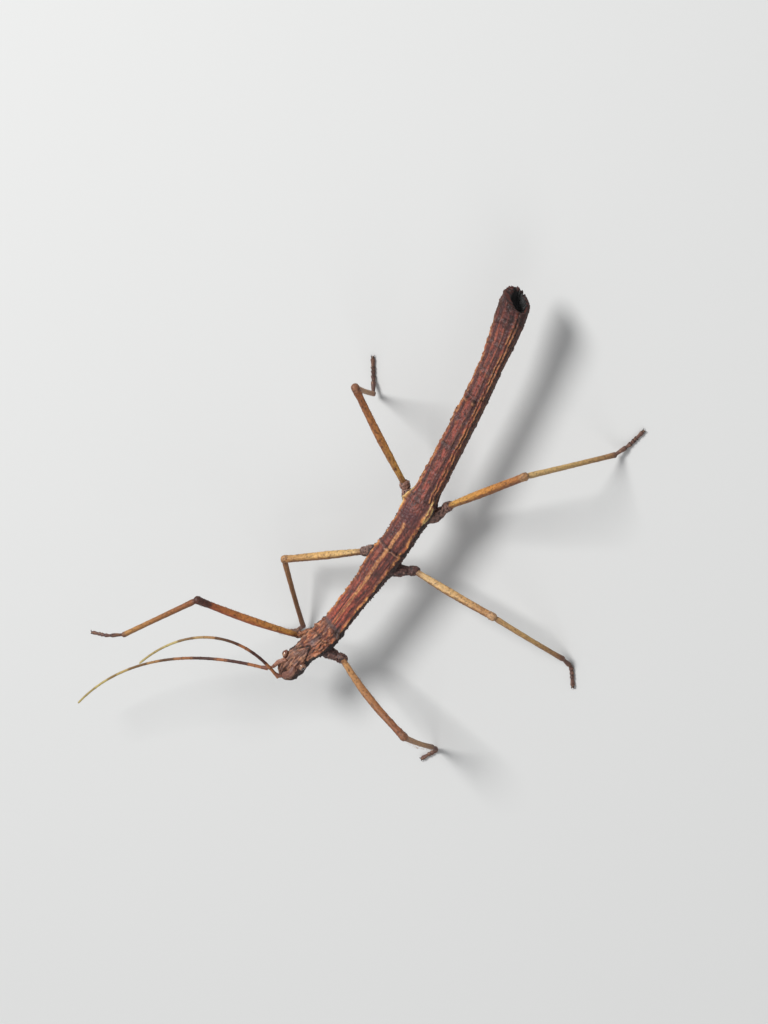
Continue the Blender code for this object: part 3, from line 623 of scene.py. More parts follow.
class Bark:
    """Masks and noises over the body, as arrays of rings by columns, for its relief and its colours."""

    def __init__(self, distance, angle):
        self.distance, self.angle, self.off = distance, angle, np.abs(angle)
        self.fibre = self.grain(0.32, 7.5, 4) * 1.6
        self.mottle = self.grain(1.0, 3.4, 4, 11.0) * 1.7
        self.fine = self.grain(2.6, 7.0, 3, 23.0) * 1.7
        self.rough = np.abs(self.grain(0.6, 4.4, 3, 31.0)) * 2.2
        line = np.stack([distance * 0.5, np.sign(angle) * 3.0, distance * 0.0], -1)
        self.sway = fractal(line, 3, 5.0) * 1.6
        self.knobs = scatter_knobs(distance, angle)
        self.mark_regions()
        self.mark_lines()
        self.mark_breaks()

    def grain(self, along, around, octaves, seed=0.0):
        """Noise that is so fine along the body and so fine around it."""
        turn = np.radians(self.angle)
        place = np.stack([self.distance * along, np.sin(turn) * around, np.cos(turn) * around], -1)
        return fractal(place, octaves, seed)

    def mark_regions(self):
        """Where the head, the pronotum, the rest of the thorax and the abdomen are."""
        distance = self.distance
        behind_collar = smooth(PRONOTUM_END - 0.3, PRONOTUM_END + 0.3, distance)
        self.head = 1 - smooth(HEAD_END - 0.4, HEAD_END + 0.2, distance)
        self.pronotum = smooth(HEAD_END - 0.2, HEAD_END + 0.4, distance) * (1 - behind_collar)
        self.abdomen = smooth(THORAX_END - 0.4, THORAX_END + 0.4, distance)
        self.back = behind_collar * (1 - self.abdomen)

    def mark_lines(self):
        """The stripe, furrows, keels and ridges that run along the body."""
        distance, angle, off, sway = self.distance, self.angle, self.off, self.sway
        thorax = self.pronotum + self.back
        stripe = (1 - smooth(5.0, 9.4, off + sway * 2.5 + self.fine * 1.5)) * self.back
        stripe = stripe * (1 - smooth(STRIPE_END - 0.3, STRIPE_END, distance))
        threads = smooth(-0.4, 0.5, np.cos(np.radians(angle) * 51 + sway * 2))
        self.stripe = stripe * (1 - 0.65 * (1 - threads) * (1 - smooth(19, 22, distance)))
        furrows = sum(bell(off, centre + sway * 6, 3.4) for centre in FURROW_ANGLES)
        self.furrows = furrows * (self.head + self.pronotum) * smooth(-0.6, 0.2, self.mottle)
        self.carina = bell(off, CARINA_ANGLE + sway * 4, 5.5) * thorax
        self.low_ridge = bell(off, LOW_RIDGE_ANGLE + sway * 6, 5) * thorax
        inner, middle, outer = (bell(off, turn + sway * 4, width) for turn, width in ABDOMEN_RIDGES)
        ridges = inner * smooth(-0.9, 0.1, self.mottle) + (middle + outer * (angle < 0))
        self.ridges = np.clip(ridges, 0, 1) * self.abdomen
        self.side_ridge = bell(off, LOW_RIDGE_ANGLE + sway * 5, 4.5) * self.abdomen
        self.band_lines = bell(off, BAND_LINE_ANGLE + sway * 4, 3.2) * self.abdomen

    def mark_breaks(self):
        """The flaps over the hind hips, and the notch, pit and groove in the front of the body."""
        distance, off = self.distance, self.off
        reach = ((distance - FLAP_DISTANCE) / 1.9) ** 2 + ((off - FLAP_ANGLE) / 8.5) ** 2
        self.flap_rim = bell(reach, 1.0, 0.4) * smooth(-0.9, -0.2, self.mottle)
        self.flap = 1 - smooth(0.6, 1.0, reach)
        fold = (NOTCH_DISTANCE - distance) * 15 + 2
        self.notch = bell(off, fold, 4.5) * smooth(5.4, 5.9, distance) * (1 - smooth(8.2, 8.6, distance))
        self.pit = bell(distance, PIT_DISTANCE, 0.55) * bell(self.angle, PIT_ANGLE, 13)
        wave = 0.25 * np.sin(np.radians(self.angle) * 5)
        groove = bell(distance + wave, GROOVE_DISTANCE, 0.22) * (1 - smooth(45, 70, off))
        self.groove = groove * (0.35 + 0.65 * smooth(-0.5, 0.2, self.fine))

    def borders(self, places, width, shift=0.0):
        """Strength of slightly wavy lines across the body at given distances."""
        wavy = self.distance + 0.12 * self.mottle
        return np.clip(sum(bell(wavy, place + shift, width) for place in places), 0, 1)

    def crease(self, width, end):
        """Strength of the crease behind the head, down to an angle at its ends."""
        return bell(self.distance + self.off * 0.012, CREASE_DISTANCE, width) * (self.off < end)

    def swellings(self, table):
        """All the swellings and hollows of a table together."""
        return sum(height * bell(self.distance, place, length) * bell(self.off, turn, width)
                   for height, place, length, turn, width in table.values())


def body_relief(bark):
    """How far the skin stands out from the plain body."""
    distance, off = bark.distance, bark.off
    torn = 0.55 + 0.75 * bark.rough
    relief = 0.1 * bark.stripe + 0.26 * bark.carina * torn + 0.12 * bark.low_ridge
    relief += 0.2 * bark.ridges * torn + 0.12 * bark.side_ridge + 0.07 * bark.band_lines
    relief += 0.055 * bark.fibre + 0.045 * bark.fine
    relief += (0.12 * bark.rough - 0.04) * (bark.pronotum + bark.head)
    relief += 0.07 * bark.mottle * bark.pronotum - 0.11 * bark.furrows
    relief += 0.14 * bark.borders(THORAX_BORDERS, 0.32, -0.4) - 0.13 * bark.borders(THORAX_BORDERS, 0.12)
    relief += 0.1 * bark.borders(ABDOMEN_BORDERS, 0.4, -0.5) - 0.09 * bark.borders(ABDOMEN_BORDERS, 0.13)
    relief -= 0.22 * bark.groove + 0.22 * bark.notch + 0.16 * bark.pit
    relief += 0.16 * bark.flap_rim - 0.16 * bark.flap
    for place, height, length in LOBES:
        relief += height * bell(distance, place, length) * bell(off, LOBE_ANGLE, 26)
    for place, height in HUMPS:
        relief += height * bell(distance, place, 0.5) * bell(off, HUMP_ANGLE, 9)
    return relief + bark.swellings(BODY_SWELLINGS) + head_relief(bark) + bark.knobs


def head_relief(bark):
    """Brows over the eyes, a furrowed crown, sockets of the feelers and the cheeks."""
    relief = bark.swellings(HEAD_SWELLINGS)
    for antenna in ANTENNAE.values():
        place, turn = antenna["root"]
        relief += 0.3 * bell(bark.distance, place + 0.1, 0.5) * bell(bark.angle, turn, 14)
    return (relief - 0.12 * bark.crease(0.2, 75)) * bark.head


def back_colours(bark):
    """Rust and purple streaks of the thorax, and the abdomen's reddish middle between darker bands."""
    distance, off, fibre = bark.distance, bark.off, bark.fibre
    ahead = (1 - smooth(19, 27, distance)) * bark.back
    middle = (1 - smooth(9, 15, off)) * bark.abdomen * (1 - 0.75 * smooth(64, 74, distance))
    beside = smooth(13, 18, off) * (1 - smooth(32, 38, off)) * bark.abdomen
    specks = smooth(0.35, 0.75, bark.fine) * smooth(-0.1, 0.4, bark.mottle)
    waist = bell(distance, 38.2, 1.2) * (1 - smooth(28, 45, off))
    return painted(between(PURPLE, RUST, smooth(-0.35, 0.3, fibre)), (
        (BRIGHT_RUST, smooth(0.25, 0.8, fibre) * 0.6),
        (FRESH_RUST, ahead * smooth(-0.7, 0.25, fibre) * 0.8),
        (DUSK, smooth(23, 33, distance) * bark.back * 0.3),
        (ROSE, middle * (0.5 + 0.35 * fibre)),
        (MAROON, beside * 0.85),
        (DARK, smooth(0.12, 0.6, bark.mottle) * (0.7 - 0.25 * ahead)),
        (DARK, smooth(0.3, 0.65, -bark.fine) * bark.back * 0.45),
        (LILAC, specks * (0.15 + 0.15 * bark.back)),
        (PURPLE, bell(off, 38, 9) * bark.back * 0.55),
        (WAIST_DUSK, waist * 0.75),
    ))


def shaded_flank_colours(bark, colour):
    """Painted shade on both flanks, black and dark brown with brown and grey specks, and the paler
    underside.
    """
    flank = smooth(58, 66, bark.off) * (1 - smooth(122, 150, bark.off))
    flank_shade = painted(between(DARK, BLACKISH, smooth(-0.3, 0.3, bark.mottle)), (
        (BROWN, smooth(0.3, 0.8, bark.fibre) * 0.5 * bark.abdomen),
        (GREY_BROWN, smooth(0.5, 0.9, bark.fine) * 0.6),
    ))
    # the flanks darkened with painted shade
    colour = mix(colour, flank_shade, flank * (0.85 + 0.1 * bark.back))
    return mix(colour, linear(UNDERSIDE), smooth(120, 155, bark.off) * 0.8)


def ridge_colours(bark, colour):
    """The pale stripe, the orange keels of the thorax and the tan ridges of the abdomen."""
    broken = smooth(-0.5, 0.2, bark.mottle + 0.5 * bark.fine)
    beside_stripe = bell(bark.off, 13.5, 3) * bark.back * (bark.distance < STRIPE_END)
    stripe_colour = between(*STRIPE_COLOURS, smooth(-0.2, 0.6, bark.fine - bark.fibre))
    shown = (0.25 + 0.65 * broken) * np.where(bark.angle < 0, 1.1, 0.95)
    colour = mix(colour, linear(DARK_RED), beside_stripe * 0.6)
    colour = mix(colour, stripe_colour, bark.stripe * (0.7 + 0.3 * broken))
    return painted(colour, (
        (ORANGE, bark.carina ** 1.3 * (0.3 + 0.7 * broken)),
        (BRIGHT_TAN, bark.carina ** 3 * broken * 0.6),
        (RIDGE_TAN, bark.ridges ** 1.4 * shown),
        (TAN, bark.ridges ** 4 * broken * 0.4),
        (GAP_BROWN, bell(bark.off, 48.5, 2.2) * bark.abdomen * 0.6),
        (LOW_RIDGE_TAN, bark.side_ridge ** 2 * broken * 0.65),
        (LINE_BROWN, bark.band_lines ** 2 * 0.35),
    ))


def border_colours(bark, colour):
    """Joints between the segments, with their dark lines and grey patches, the flaps and the humps."""
    distance, off = bark.distance, bark.off
    pale_line = bark.borders(THORAX_BORDERS[1:2], 0.1, -0.35) * (off < 50) * smooth(-0.6, 0.2, bark.fine)
    patch = bark.borders(ABDOMEN_BORDERS, 0.5, -0.45) * (1 - smooth(34, 44, off))
    colour = painted(colour, (
        (BLACKISH, bark.borders(THORAX_BORDERS, 0.15) * 0.8),
        (JOINT_PALE, pale_line * 0.6),
        (LILAC, bark.borders(THORAX_BORDERS[:1], 0.4, 0.2) * (off < 48) * 0.6),
        (BLACKISH, bark.borders(ABDOMEN_BORDERS, 0.14) * smooth(-0.6, 0.3, bark.mottle) * 0.6),
        (DARK, patch * smooth(-0.4, 0.4, bark.mottle) * 0.5),
        (LILAC, patch * smooth(0.0, 0.5, bark.fine) * 0.3),
    ))
    colour = mix(colour, between(FLAP_PINK, DARK, smooth(-0.1, 0.4, bark.fibre)), bark.flap)
    colour = mix(colour, linear(PALE_YELLOW), np.clip(bark.flap_rim * 1.2, 0, 1) * 0.95)
    for place, height in HUMPS:
        large = smooth(0.1, 0.3, height)
        colour = painted(colour, (
            (BLACKISH, bell(distance, place + 0.45, 0.3) * bell(off, HUMP_ANGLE, 9) * large * 0.9),
            (HUMP_CREST, bell(distance, place - 0.1, 0.25) * bell(off, HUMP_ANGLE, 7) * large * 0.7),
        ))
    return colour


def tail_colours(bark, colour):
    """The end of the tail darkens to maroon with black patches."""
    end = smooth(71.5, 77, bark.distance)
    patches = smooth(-0.3, 0.3, bark.mottle) * (0.55 + 0.35 * (bark.angle > 0))
    return painted(colour, ((TAIL_MAROON, end * 0.78), (TAIL_BLACK, end * patches)))


def front_colours(bark, colour):
    """Head and pronotum: pinkish and rust ridges with a painted highlight on their tops, grey-blue hollows,
    dark furrows along the body and black painted shade.
    """
    distance, angle, off = bark.distance, bark.angle, bark.off
    top = (bark.head + bark.pronotum) * (1 - smooth(56, 72, off))
    light = smooth(-0.4, 0.45, bark.fibre + 0.3 * bark.rough)
    crown, collar = between(*CROWN_COLOURS, light), between(*COLLAR_COLOURS, light)
    ridged = painted(mix(crown, collar, bark.pronotum), (
        # pinkish painted highlight on the tops of the rough ridges
        (RIDGE_HIGHLIGHT, smooth(0.5, 1.0, bark.rough) * 0.55),
        (SLATE, smooth(0.15, 0.6, bark.mottle) * 0.45),
        (DARK, (1 - smooth(0.02, 0.12, bark.rough)) * 0.35),
        (DARK, smooth(0.3, 0.7, -bark.fine) * 0.4),
        (DARK, np.clip(bark.furrows, 0, 1) * 0.75),
    ))
    return painted(mix(colour, ridged, top * 0.95), (
        (DEEP_SLATE, bell(distance, 9.3, 0.75) * bell(angle, -6, 15) * 0.75),
        (TEMPLE_ORANGE, bell(distance, 5.9, 0.8) * bell(angle, 42, 13) * 0.6),
        (COLLAR_GREY, bell(distance, PRONOTUM_END + 0.35, 0.45) * (1 - smooth(46, 60, off)) * 0.65),
        (KNOB_PINK, bell(distance, 2.6, 0.5) * bell(angle, -30, 13) * 0.7),
        # black painted shade in the hollows and on the shaded sides and left cheek
        (BLACKISH, shade_marks(bark) * 0.95),
    ))


def shade_marks(bark):
    """How much black painted shade lies at the mouth, in the notch, pit, grooves and crease, on the sides of
    the head and pronotum, and on the left cheek and the corner behind the pronotum on the left.
    """
    distance, angle, off = bark.distance, bark.angle, bark.off
    mouth = bell(distance, 1.3, 0.9) * bell(off, 0, 22)
    sides = smooth(66, 80, off) * (bark.head + bark.pronotum)
    shaded_cheek = smooth(43, 53, angle) * bark.head + smooth(52, 62, angle) * bark.pronotum
    shaded_corner = bell(distance, PRONOTUM_END - 0.1, 1.1) * smooth(14, 38, angle) * smooth(-0.5, 0.3, bark.mottle)
    marks = bark.notch + bark.pit + 0.85 * (mouth + bark.groove + sides + shaded_cheek)
    return np.clip(marks + 0.8 * shaded_corner + 0.5 * bark.crease(0.18, 70), 0, 1)


def tail_rim(turns):
    """How far the slanted and ragged rim of the tail lies before or behind the body's end."""
    tilt = -TAIL_RIM_TILT * (1 + np.cos(np.radians(turns - TAIL_RIM_TURN))) / 2
    around = [(math.cos(t) * 6, math.sin(t) * 6, 9.0) for t in np.radians(turns)]
    ragged = np.array([noise.noise(Vector(place)) for place in around])
    teeth = np.sign(np.sin(np.radians(turns * 17) + 2 * np.sin(np.radians(turns * 4))))
    return tilt, 0.6 * ragged + 0.16 * teeth - 0.2


def tail_hollow(last, turns, tilt, ragged):
    """Rings of the hollow in the end of the tail, from the rim inwards, painted darker inwards as shade."""
    points, colours = [], []
    side = rolled_frame(np.array([BODY_END]))[1][0]
    for share, shrink, shift in HOLLOW_RINGS:
        inner = last - share * TAIL_HOLLOW_DEPTH - (tilt + ragged) * share
        swirl = np.sin(np.radians(turns * 11) + shrink * 14 + 2 * np.sin(np.radians(turns * 5)))
        rough = (0.1 if shrink > 0.6 else 0.05) * swirl
        points.append(body_points(inner, turns, rough, shrink) + side * TAIL_HOLLOW_SHIFT * shift)
        # painted shade, near black from just inside the rim
        depth = np.full(len(turns), min(1.0, share * 12.0))
        colours.append(mix(between(*RIM_COLOURS, 0.5 + 0.5 * swirl), linear(HOLLOW_SHADE), depth))
    return points, colours


def add_body(skin):
    """The head, thorax and abdomen as one long surface, with the hollow end of the tail."""
    last = BODY_END - 1.0
    places = np.concatenate([np.arange(0.0, last, RING_STEP), np.linspace(last, BODY_END, 9)])
    turns = np.arange(COLUMNS) * 360 / COLUMNS - 180
    distance, angle = np.meshgrid(places, turns, indexing="ij")
    tilt, ragged = tail_rim(turns)
    distance = distance + smooth(BODY_END - 4.6, BODY_END, distance) * tilt[None, :]
    distance = distance + smooth(BODY_END - 1.2, BODY_END, distance) * ragged[None, :]
    bark = Bark(distance, angle)
    points = body_points(distance, angle, body_relief(bark))
    colours = back_colours(bark)
    for coat in (shaded_flank_colours, ridge_colours, border_colours, tail_colours, front_colours):
        colours = coat(bark, colours)
    colours = mix(colours, linear(DARK), smooth(0.03, 0.12, bark.knobs) * 0.45)

    nose, nose_colour = [], []
    for shrink in NOSE_RINGS:
        back = -NOSE_LENGTH * math.sqrt(1 - shrink * shrink)
        nose.append(body_points(np.full(COLUMNS, back), turns, 0.0, shrink))
        nose_colour.append(np.broadcast_to(linear(DARK), (COLUMNS, 3)))
    hollow, hollow_colour = tail_hollow(distance[-1], turns, tilt, ragged)
    points = np.concatenate([np.stack(nose), points, np.stack(hollow)])
    colours = np.concatenate([np.stack(nose_colour), colours, np.stack(hollow_colour)])
    skin.add_grid(points[:, ::-1], colours[:, ::-1])


def add_flank_spines(skin):
    """Larger blunt spines along the flanks of the thorax and at the edges of the abdomen."""
    roots, tips, radii, colours = [], [], [], []
    for _ in range(FLANK_SPINES):
        place = RANDOM.uniform(*SPINE_REACH)
        on_thorax = place < THORAX_END
        turn = RANDOM.uniform(62, 112) if on_thorax else RANDOM.uniform(56, 84)
        turn *= RANDOM.choice([-1, 1])
        size = RANDOM.uniform(0.1, 0.22) * (1.0 if on_thorax else 0.5)
        root = body_point(place, turn, -0.12)
        normal = body_normal(place, turn)
        roots.append(root)
        tips.append(root + normal * (size + 0.2) + Vector((0, RANDOM.uniform(-0.08, 0.12), 0)))
        radii.append(size * 0.75)
        colours.append(linear(DARK if RANDOM.random() < 0.6 else SPINE_BROWN))
    skin.add_thorns(roots, tips, radii, colours, sides=6, waist=0.75, point=0.32)


# Head pieces

def unit_ball(rings, columns, pole):
    """Directions all round, as rings by columns, from a small angle off one pole to the other."""
    polar = np.linspace(pole, math.pi - pole, rings)
    p, t = np.meshgrid(polar, full_turn(columns), indexing="ij")
    return np.stack([np.sin(p) * np.cos(t), -np.cos(p), np.sin(p) * np.sin(t)], -1)


def add_ball(form, centre, radii, colour, turn_z=0.0, rough=0.0):
    """An egg shape with its poles along its own Y axis."""
    unit = unit_ball(14, 20, 0.04)
    swell = 1 + rough * fractal(unit * 2.5, 3, centre[0])[..., None] if rough else 1.0
    local = unit * np.asarray(radii) * swell
    c, s = math.cos(turn_z), math.sin(turn_z)
    x = local[..., 0] * c - local[..., 1] * s
    y = local[..., 0] * s + local[..., 1] * c
    form.add_grid(np.stack([x, y, local[..., 2]], -1) + np.asarray(centre), colour)


def add_mouthparts(skin):
    """Lip, jaws and two pairs of feelers of the mouth, under the front of the head."""
    centre, side, up, rear = (v[0] for v in rolled_frame(np.array([0.4])))
    brown = linear(MOUTH_BROWN)
    add_ball(skin, centre - up * 0.55 - rear * 0.25, (0.75, 0.4, 0.42), brown, rough=0.1)
    for way in (-1, 1):
        jaw = centre + side * 0.55 * way - up * 0.85 + rear * 0.3
        add_ball(skin, jaw, (0.45, 0.6, 0.5), brown, rough=0.12)
        for start, length, radius in ((0.75, 1.5, 0.17), (0.35, 1.0, 0.13)):
            root = centre + side * start * way - up * 1.15 + rear * 0.6
            bend = root + side * 0.3 * way - up * 0.25 - rear * length * 0.45
            tip = root + side * 0.15 * way - up * 0.3 - rear * length
            path = curve_through((root, bend, tip), 40)
            t = np.linspace(0, 1, len(path))
            swell = 1 + 0.16 * np.cos(t * math.pi * 6)
            width = radius * swell * np.where(t > 0.93, 0.6, 1.0)
            skin.add_grid(sweep(path, width, 14), brown)


def eye_centre(name):
    distance, out, high = EYES[name]
    centre, side, up, _ = (v[0] for v in rolled_frame(np.array([distance])))
    return centre + side * out + up * high


def make_eye(name, material):
    """A bulging eye with a dark spot that looks outwards: tan on the left, red-brown on the right with a
    painted highlight on its top.
    """
    form = Form()
    unit = unit_ball(48, 64, 0.02)
    points = eye_centre(name) + unit * EYE_RADIUS * np.array([1.0, 1.05, 0.95])
    look = np.array([0.85 if name == "left" else -0.85, -0.05, 0.55])
    facing = unit @ (look / np.linalg.norm(look))
    colour = between(*EYE_COLOURS[name], smooth(-0.2, 0.5, fractal(unit * 5, 3, 2.0)))
    if name == "right":
        # painted highlight on the top of the right eye
        colour = mix(colour, linear(EYE_HIGHLIGHT), smooth(0.75, 0.95, unit[..., 2]) * 0.8)
    colour = painted(colour, (
        (PUPIL_RIM, smooth(0.76, 0.86, facing) * 0.8),
        (PUPIL, smooth(0.9, 0.94, facing)),
        (EYE_BACK, 1 - smooth(-0.35, 0.1, facing)),
    ))
    form.add_grid(points, colour)
    return form.build("eyeball_" + name, material)


def add_orbits(skin):
    """The raised rim in which each eye sits."""
    for name, side in (("right", -1), ("left", 1)):
        out = np.array([side * 0.8, 0.0, 0.6])
        out /= np.linalg.norm(out)
        a = np.cross(out, [0, 1, 0])
        a /= np.linalg.norm(a)
        b = np.cross(out, a)
        turn = np.linspace(0, 2 * math.pi, 61)[:-1]
        centre = eye_centre(name) + out * 0.06
        size = EYE_RADIUS * ORBIT_SIZE
        ring = centre + (a * np.cos(turn)[:, None] + b * np.sin(turn)[:, None]) * size
        radial = (ring - centre) / size
        tube = [ring + radial * ORBIT_RIM * math.cos(c) + out * ORBIT_RIM * math.sin(c)
                for c in full_turn(10)]
        skin.add_grid(np.stack(tube, 1), linear(ORBIT_BROWN), wrap=True)


# Legs

def direction(azimuth, elevation):
    flat = math.cos(math.radians(elevation))
    turn = math.radians(azimuth)
    return Vector((math.sin(turn) * flat, math.cos(turn) * flat, math.sin(math.radians(elevation))))


def floor_elevation(knee, ankle_height, length):
    return math.degrees(math.asin((ankle_height - knee.z) / length))


def leg_joints(name):
    """Hip, knee, ankle, middle of the foot and toe of one leg."""
    leg = LEGS[name]
    femur, tibia, heel, toe = LEG_LENGTHS[name.split("_")[0]]
    distance, out, drop = leg["hip"]
    point, side, up, _ = (Vector(v[0]) for v in body_frame(np.array([distance])))
    hip = point + side * out * leg["side"] - up * drop
    knee = hip + direction(*leg["femur"]) * femur
    if "ankle" in leg:
        ankle = knee + direction(leg["tibia"], floor_elevation(knee, leg["ankle"], tibia)) * tibia
        middle = ankle + direction(leg["tarsus"][0], floor_elevation(ankle, TARSUS_HEIGHT, heel)) * heel
        end = middle + direction(leg["tarsus"][1], 0) * toe
    else:
        ankle = knee + direction(leg["tibia"], leg["rise"]) * tibia
        middle = ankle + direction(leg["tarsus"][0], leg["tarsus_rise"][0]) * heel
        end = middle + direction(leg["tarsus"][1], leg["tarsus_rise"][1]) * toe
    return hip, knee, ankle, middle, end


def limb_path(start, end, bow, first, last, count):
    """Points from a distance first to a distance last along a slightly bowed limb."""
    line = end - start
    forward = line.normalized()
    lift = (Vector((0, 0, 1)) - forward * forward.z).normalized()
    distance = np.linspace(first, last, count)
    t = np.clip(distance / line.length, 0, 1)
    path = np.array(start) + distance[:, None] * np.array(forward)
    path += (bow * np.sin(math.pi * t))[:, None] * np.array(lift)
    return path, distance, t


def limb_texture(path, columns, coarse, seed):
    """Angles, streaks and spots over a limb, as arrays of rings by columns."""
    s, t = np.meshgrid(path_lengths(path), full_turn(columns), indexing="ij")
    streak = fractal(np.stack([s * 0.9, np.cos(t) * coarse, np.sin(t) * coarse], -1), 3, seed)
    spots = fractal(np.stack([s * 2.6, np.cos(t) * 2.2, np.sin(t) * 2.2], -1), 3, seed + 7)
    return t, streak * 1.5, spots * 1.5


def shade_side(path, turn):
    """How far each point of a limb's surface faces the side that is darker, as rings by columns."""
    _, side, up = path_frames(path)
    out = side[:, None, :] * np.cos(turn)[..., None] + up[:, None, :] * np.sin(turn)[..., None]
    return out @ np.array(SHADE_SIDE)


def add_hip(skin, name, hip, knee, seed):
    """Coxa and trochanter: a knobbly cone out of the flank that ends in a ball."""
    leg = LEGS[name]
    place, angle = COXA_DISTANCE[name.split("_")[0]], COXA_ANGLE * leg["side"]
    size = leg.get("hip_size", 1.0)
    root = body_point(place, angle)
    normal = body_normal(place, angle)
    onward = (knee - hip).normalized()
    knots = (root - normal * 1.2, root + normal * 0.1, root.lerp(hip, 0.55) + normal * 0.12, hip,
             hip + onward * 0.75 * size)
    path = curve_through(knots, 90)
    t = np.linspace(0, 1, len(path))
    radius = read_table(HIP_PROFILE, t) * size
    columns = 44
    _, streak, spots = limb_texture(path, columns, 3.0, seed)
    relief = 0.07 * streak + 0.09 * np.clip(spots, 0, 1) - 0.08 * bell(t, 0.67, 0.025)[:, None]
    colour = between(leg["hip_colour"], BLACKISH, smooth(0.0, 0.6, -spots) * 0.85)
    colour = mix(colour, linear(HIP_SPECKS), smooth(0.35, 0.8, spots) * 0.6)
    skin.add_grid(sweep(path, radius, columns, relief), colour)
    knobs = RANDOM.uniform(0.25, 0.9, HIP_KNOBS)
    turns = RANDOM.uniform(0, 2 * np.pi, HIP_KNOBS)
    add_limb_thorns(skin, path, radius, knobs, turns, 0.2, 0.11, DARK)


def add_limb_thorns(form, path, radius, places, turns, length, width, colour, lean=0.0, sides=6):
    """Small spikes on a limb at given shares of its length and at an angle or angles round it."""
    forward, side, up = path_frames(path)
    index = np.clip((np.asarray(places) * (len(path) - 1)).astype(int), 0, len(path) - 1)
    turns = np.broadcast_to(turns, index.shape)[:, None]
    out = side[index] * np.cos(turns) + up[index] * np.sin(turns)
    roots = path[index] + out * (np.asarray(radius)[index, None] - 0.05)
    tips = roots + out * (np.asarray(length) + 0.05).reshape(-1, 1) + forward[index] * lean
    form.add_thorns(roots, tips, width, linear(colour), sides)


def add_femur(skin, name, hip, knee, seed):
    """A bowed, four-edged thigh with two rows of teeth beneath and a swollen knee."""
    leg = LEGS[name]
    length = (knee - hip).length
    columns = 32
    path, distance, t = limb_path(hip, knee, leg["bow"], 0.45, length + 0.62, 190)
    places = [length * share for share in FEMUR_SHARES] + [length, length + 0.35, length + 0.62]
    radius = np.interp(distance, places, FEMUR_RADII)
    turn, streak, spots = limb_texture(path, columns, 2.6, seed)
    relief = 0.03 * streak + 0.035 * np.cos(4 * turn) * (1 - smooth(0.9, 0.97, t))[:, None]
    relief += 0.05 * np.clip(spots - 0.2, 0, 1) - 0.05 * bell(distance, length - 0.95, 0.1)[:, None]
    knee_start = length - leg.get("knee_length", 1.3)
    knee_part = smooth(knee_start, knee_start + 1.0, distance)[:, None]
    shade_facing = shade_side(path, turn) + 0.25 * streak
    colour = painted(blend_three(leg["femur_colours"], t, columns), (
        # painted shade on the underside
        (FEMUR_UNDER_SHADE, smooth(0.0, 0.5, -np.sin(turn) + 0.25 * streak) * 0.65),
        # painted shade on the side away from the light
        (leg.get("shade_colour", FEMUR_SHADE), smooth(0.2, 0.7, shade_facing) * 0.75),
        (FEMUR_STREAKS, smooth(0.15, 0.8, streak) * 0.35),
        (FEMUR_ROOT, (1 - smooth(1.0, 2.0, distance))[:, None] * 0.6),
        (leg["knee_colour"], knee_part * 0.8),
        (DARK, smooth(0.4 - 0.2 * knee_part, 0.8, spots) * 0.65),
    ))
    skin.add_grid(sweep(path, radius, columns, relief), colour)
    teeth = np.linspace(0.3, 0.93, FEMUR_TEETH) + RANDOM.uniform(-0.015, 0.015, FEMUR_TEETH)
    sizes = RANDOM.uniform(0.1, 0.26, FEMUR_TEETH)
    for row in FEMUR_TOOTH_ANGLES:
        add_limb_thorns(skin, path, radius, teeth, math.radians(row), sizes, 0.1, TOOTH_COLOUR, 0.08)
    knobs = RANDOM.uniform(0.9, 0.97, KNEE_KNOBS)
    turns = RANDOM.uniform(0, 6.28, KNEE_KNOBS)
    add_limb_thorns(skin, path, radius, knobs, turns, 0.14, 0.09, TOOTH_COLOUR)


def add_tibia(skin, name, knee, ankle, seed):
    """A slim, four-edged shin with two rows of fine teeth beneath and a thicker ankle."""
    leg = LEGS[name]
    length = (ankle - knee).length
    columns = 26
    path, distance, t = limb_path(knee, ankle, TIBIA_BOW, 0.25, length + 0.4, 170)
    middle = [length * share for share in TIBIA_SHARES]
    places = [0.25, 0.7, 1.1] + middle + [length - 0.5, length, length + 0.25, length + 0.4]
    radius = np.interp(distance, places, TIBIA_RADII)
    turn, streak, spots = limb_texture(path, columns, 2.2, seed)
    relief = 0.022 * streak + 0.02 * np.cos(4 * turn)
    ends = smooth(length - 1.0, length - 0.1, distance) + (1 - smooth(0.5, 1.3, distance)) * 0.5
    colour = painted(blend_three(leg["tibia_colours"], t, columns), (
        (TIBIA_STREAKS, smooth(0.2, 0.8, streak) * 0.4),
        # painted shade on the side away from the light
        (TIBIA_SHADE, smooth(0.1, 0.8, shade_side(path, turn)) * 0.45),
        (DARK, smooth(0.5, 0.9, spots) * 0.5),
        (FOOT_COLOUR, np.clip(ends, 0, 1)[:, None] * 0.75),
    ))
    skin.add_grid(sweep(path, radius, columns, relief), colour)
    teeth = np.linspace(0.12, 0.97, TIBIA_TEETH)
    for row in TIBIA_TOOTH_ANGLES:
        add_limb_thorns(skin, path, radius, teeth, math.radians(row), 0.09, 0.055, TOOTH_COLOUR, 0.05, 4)


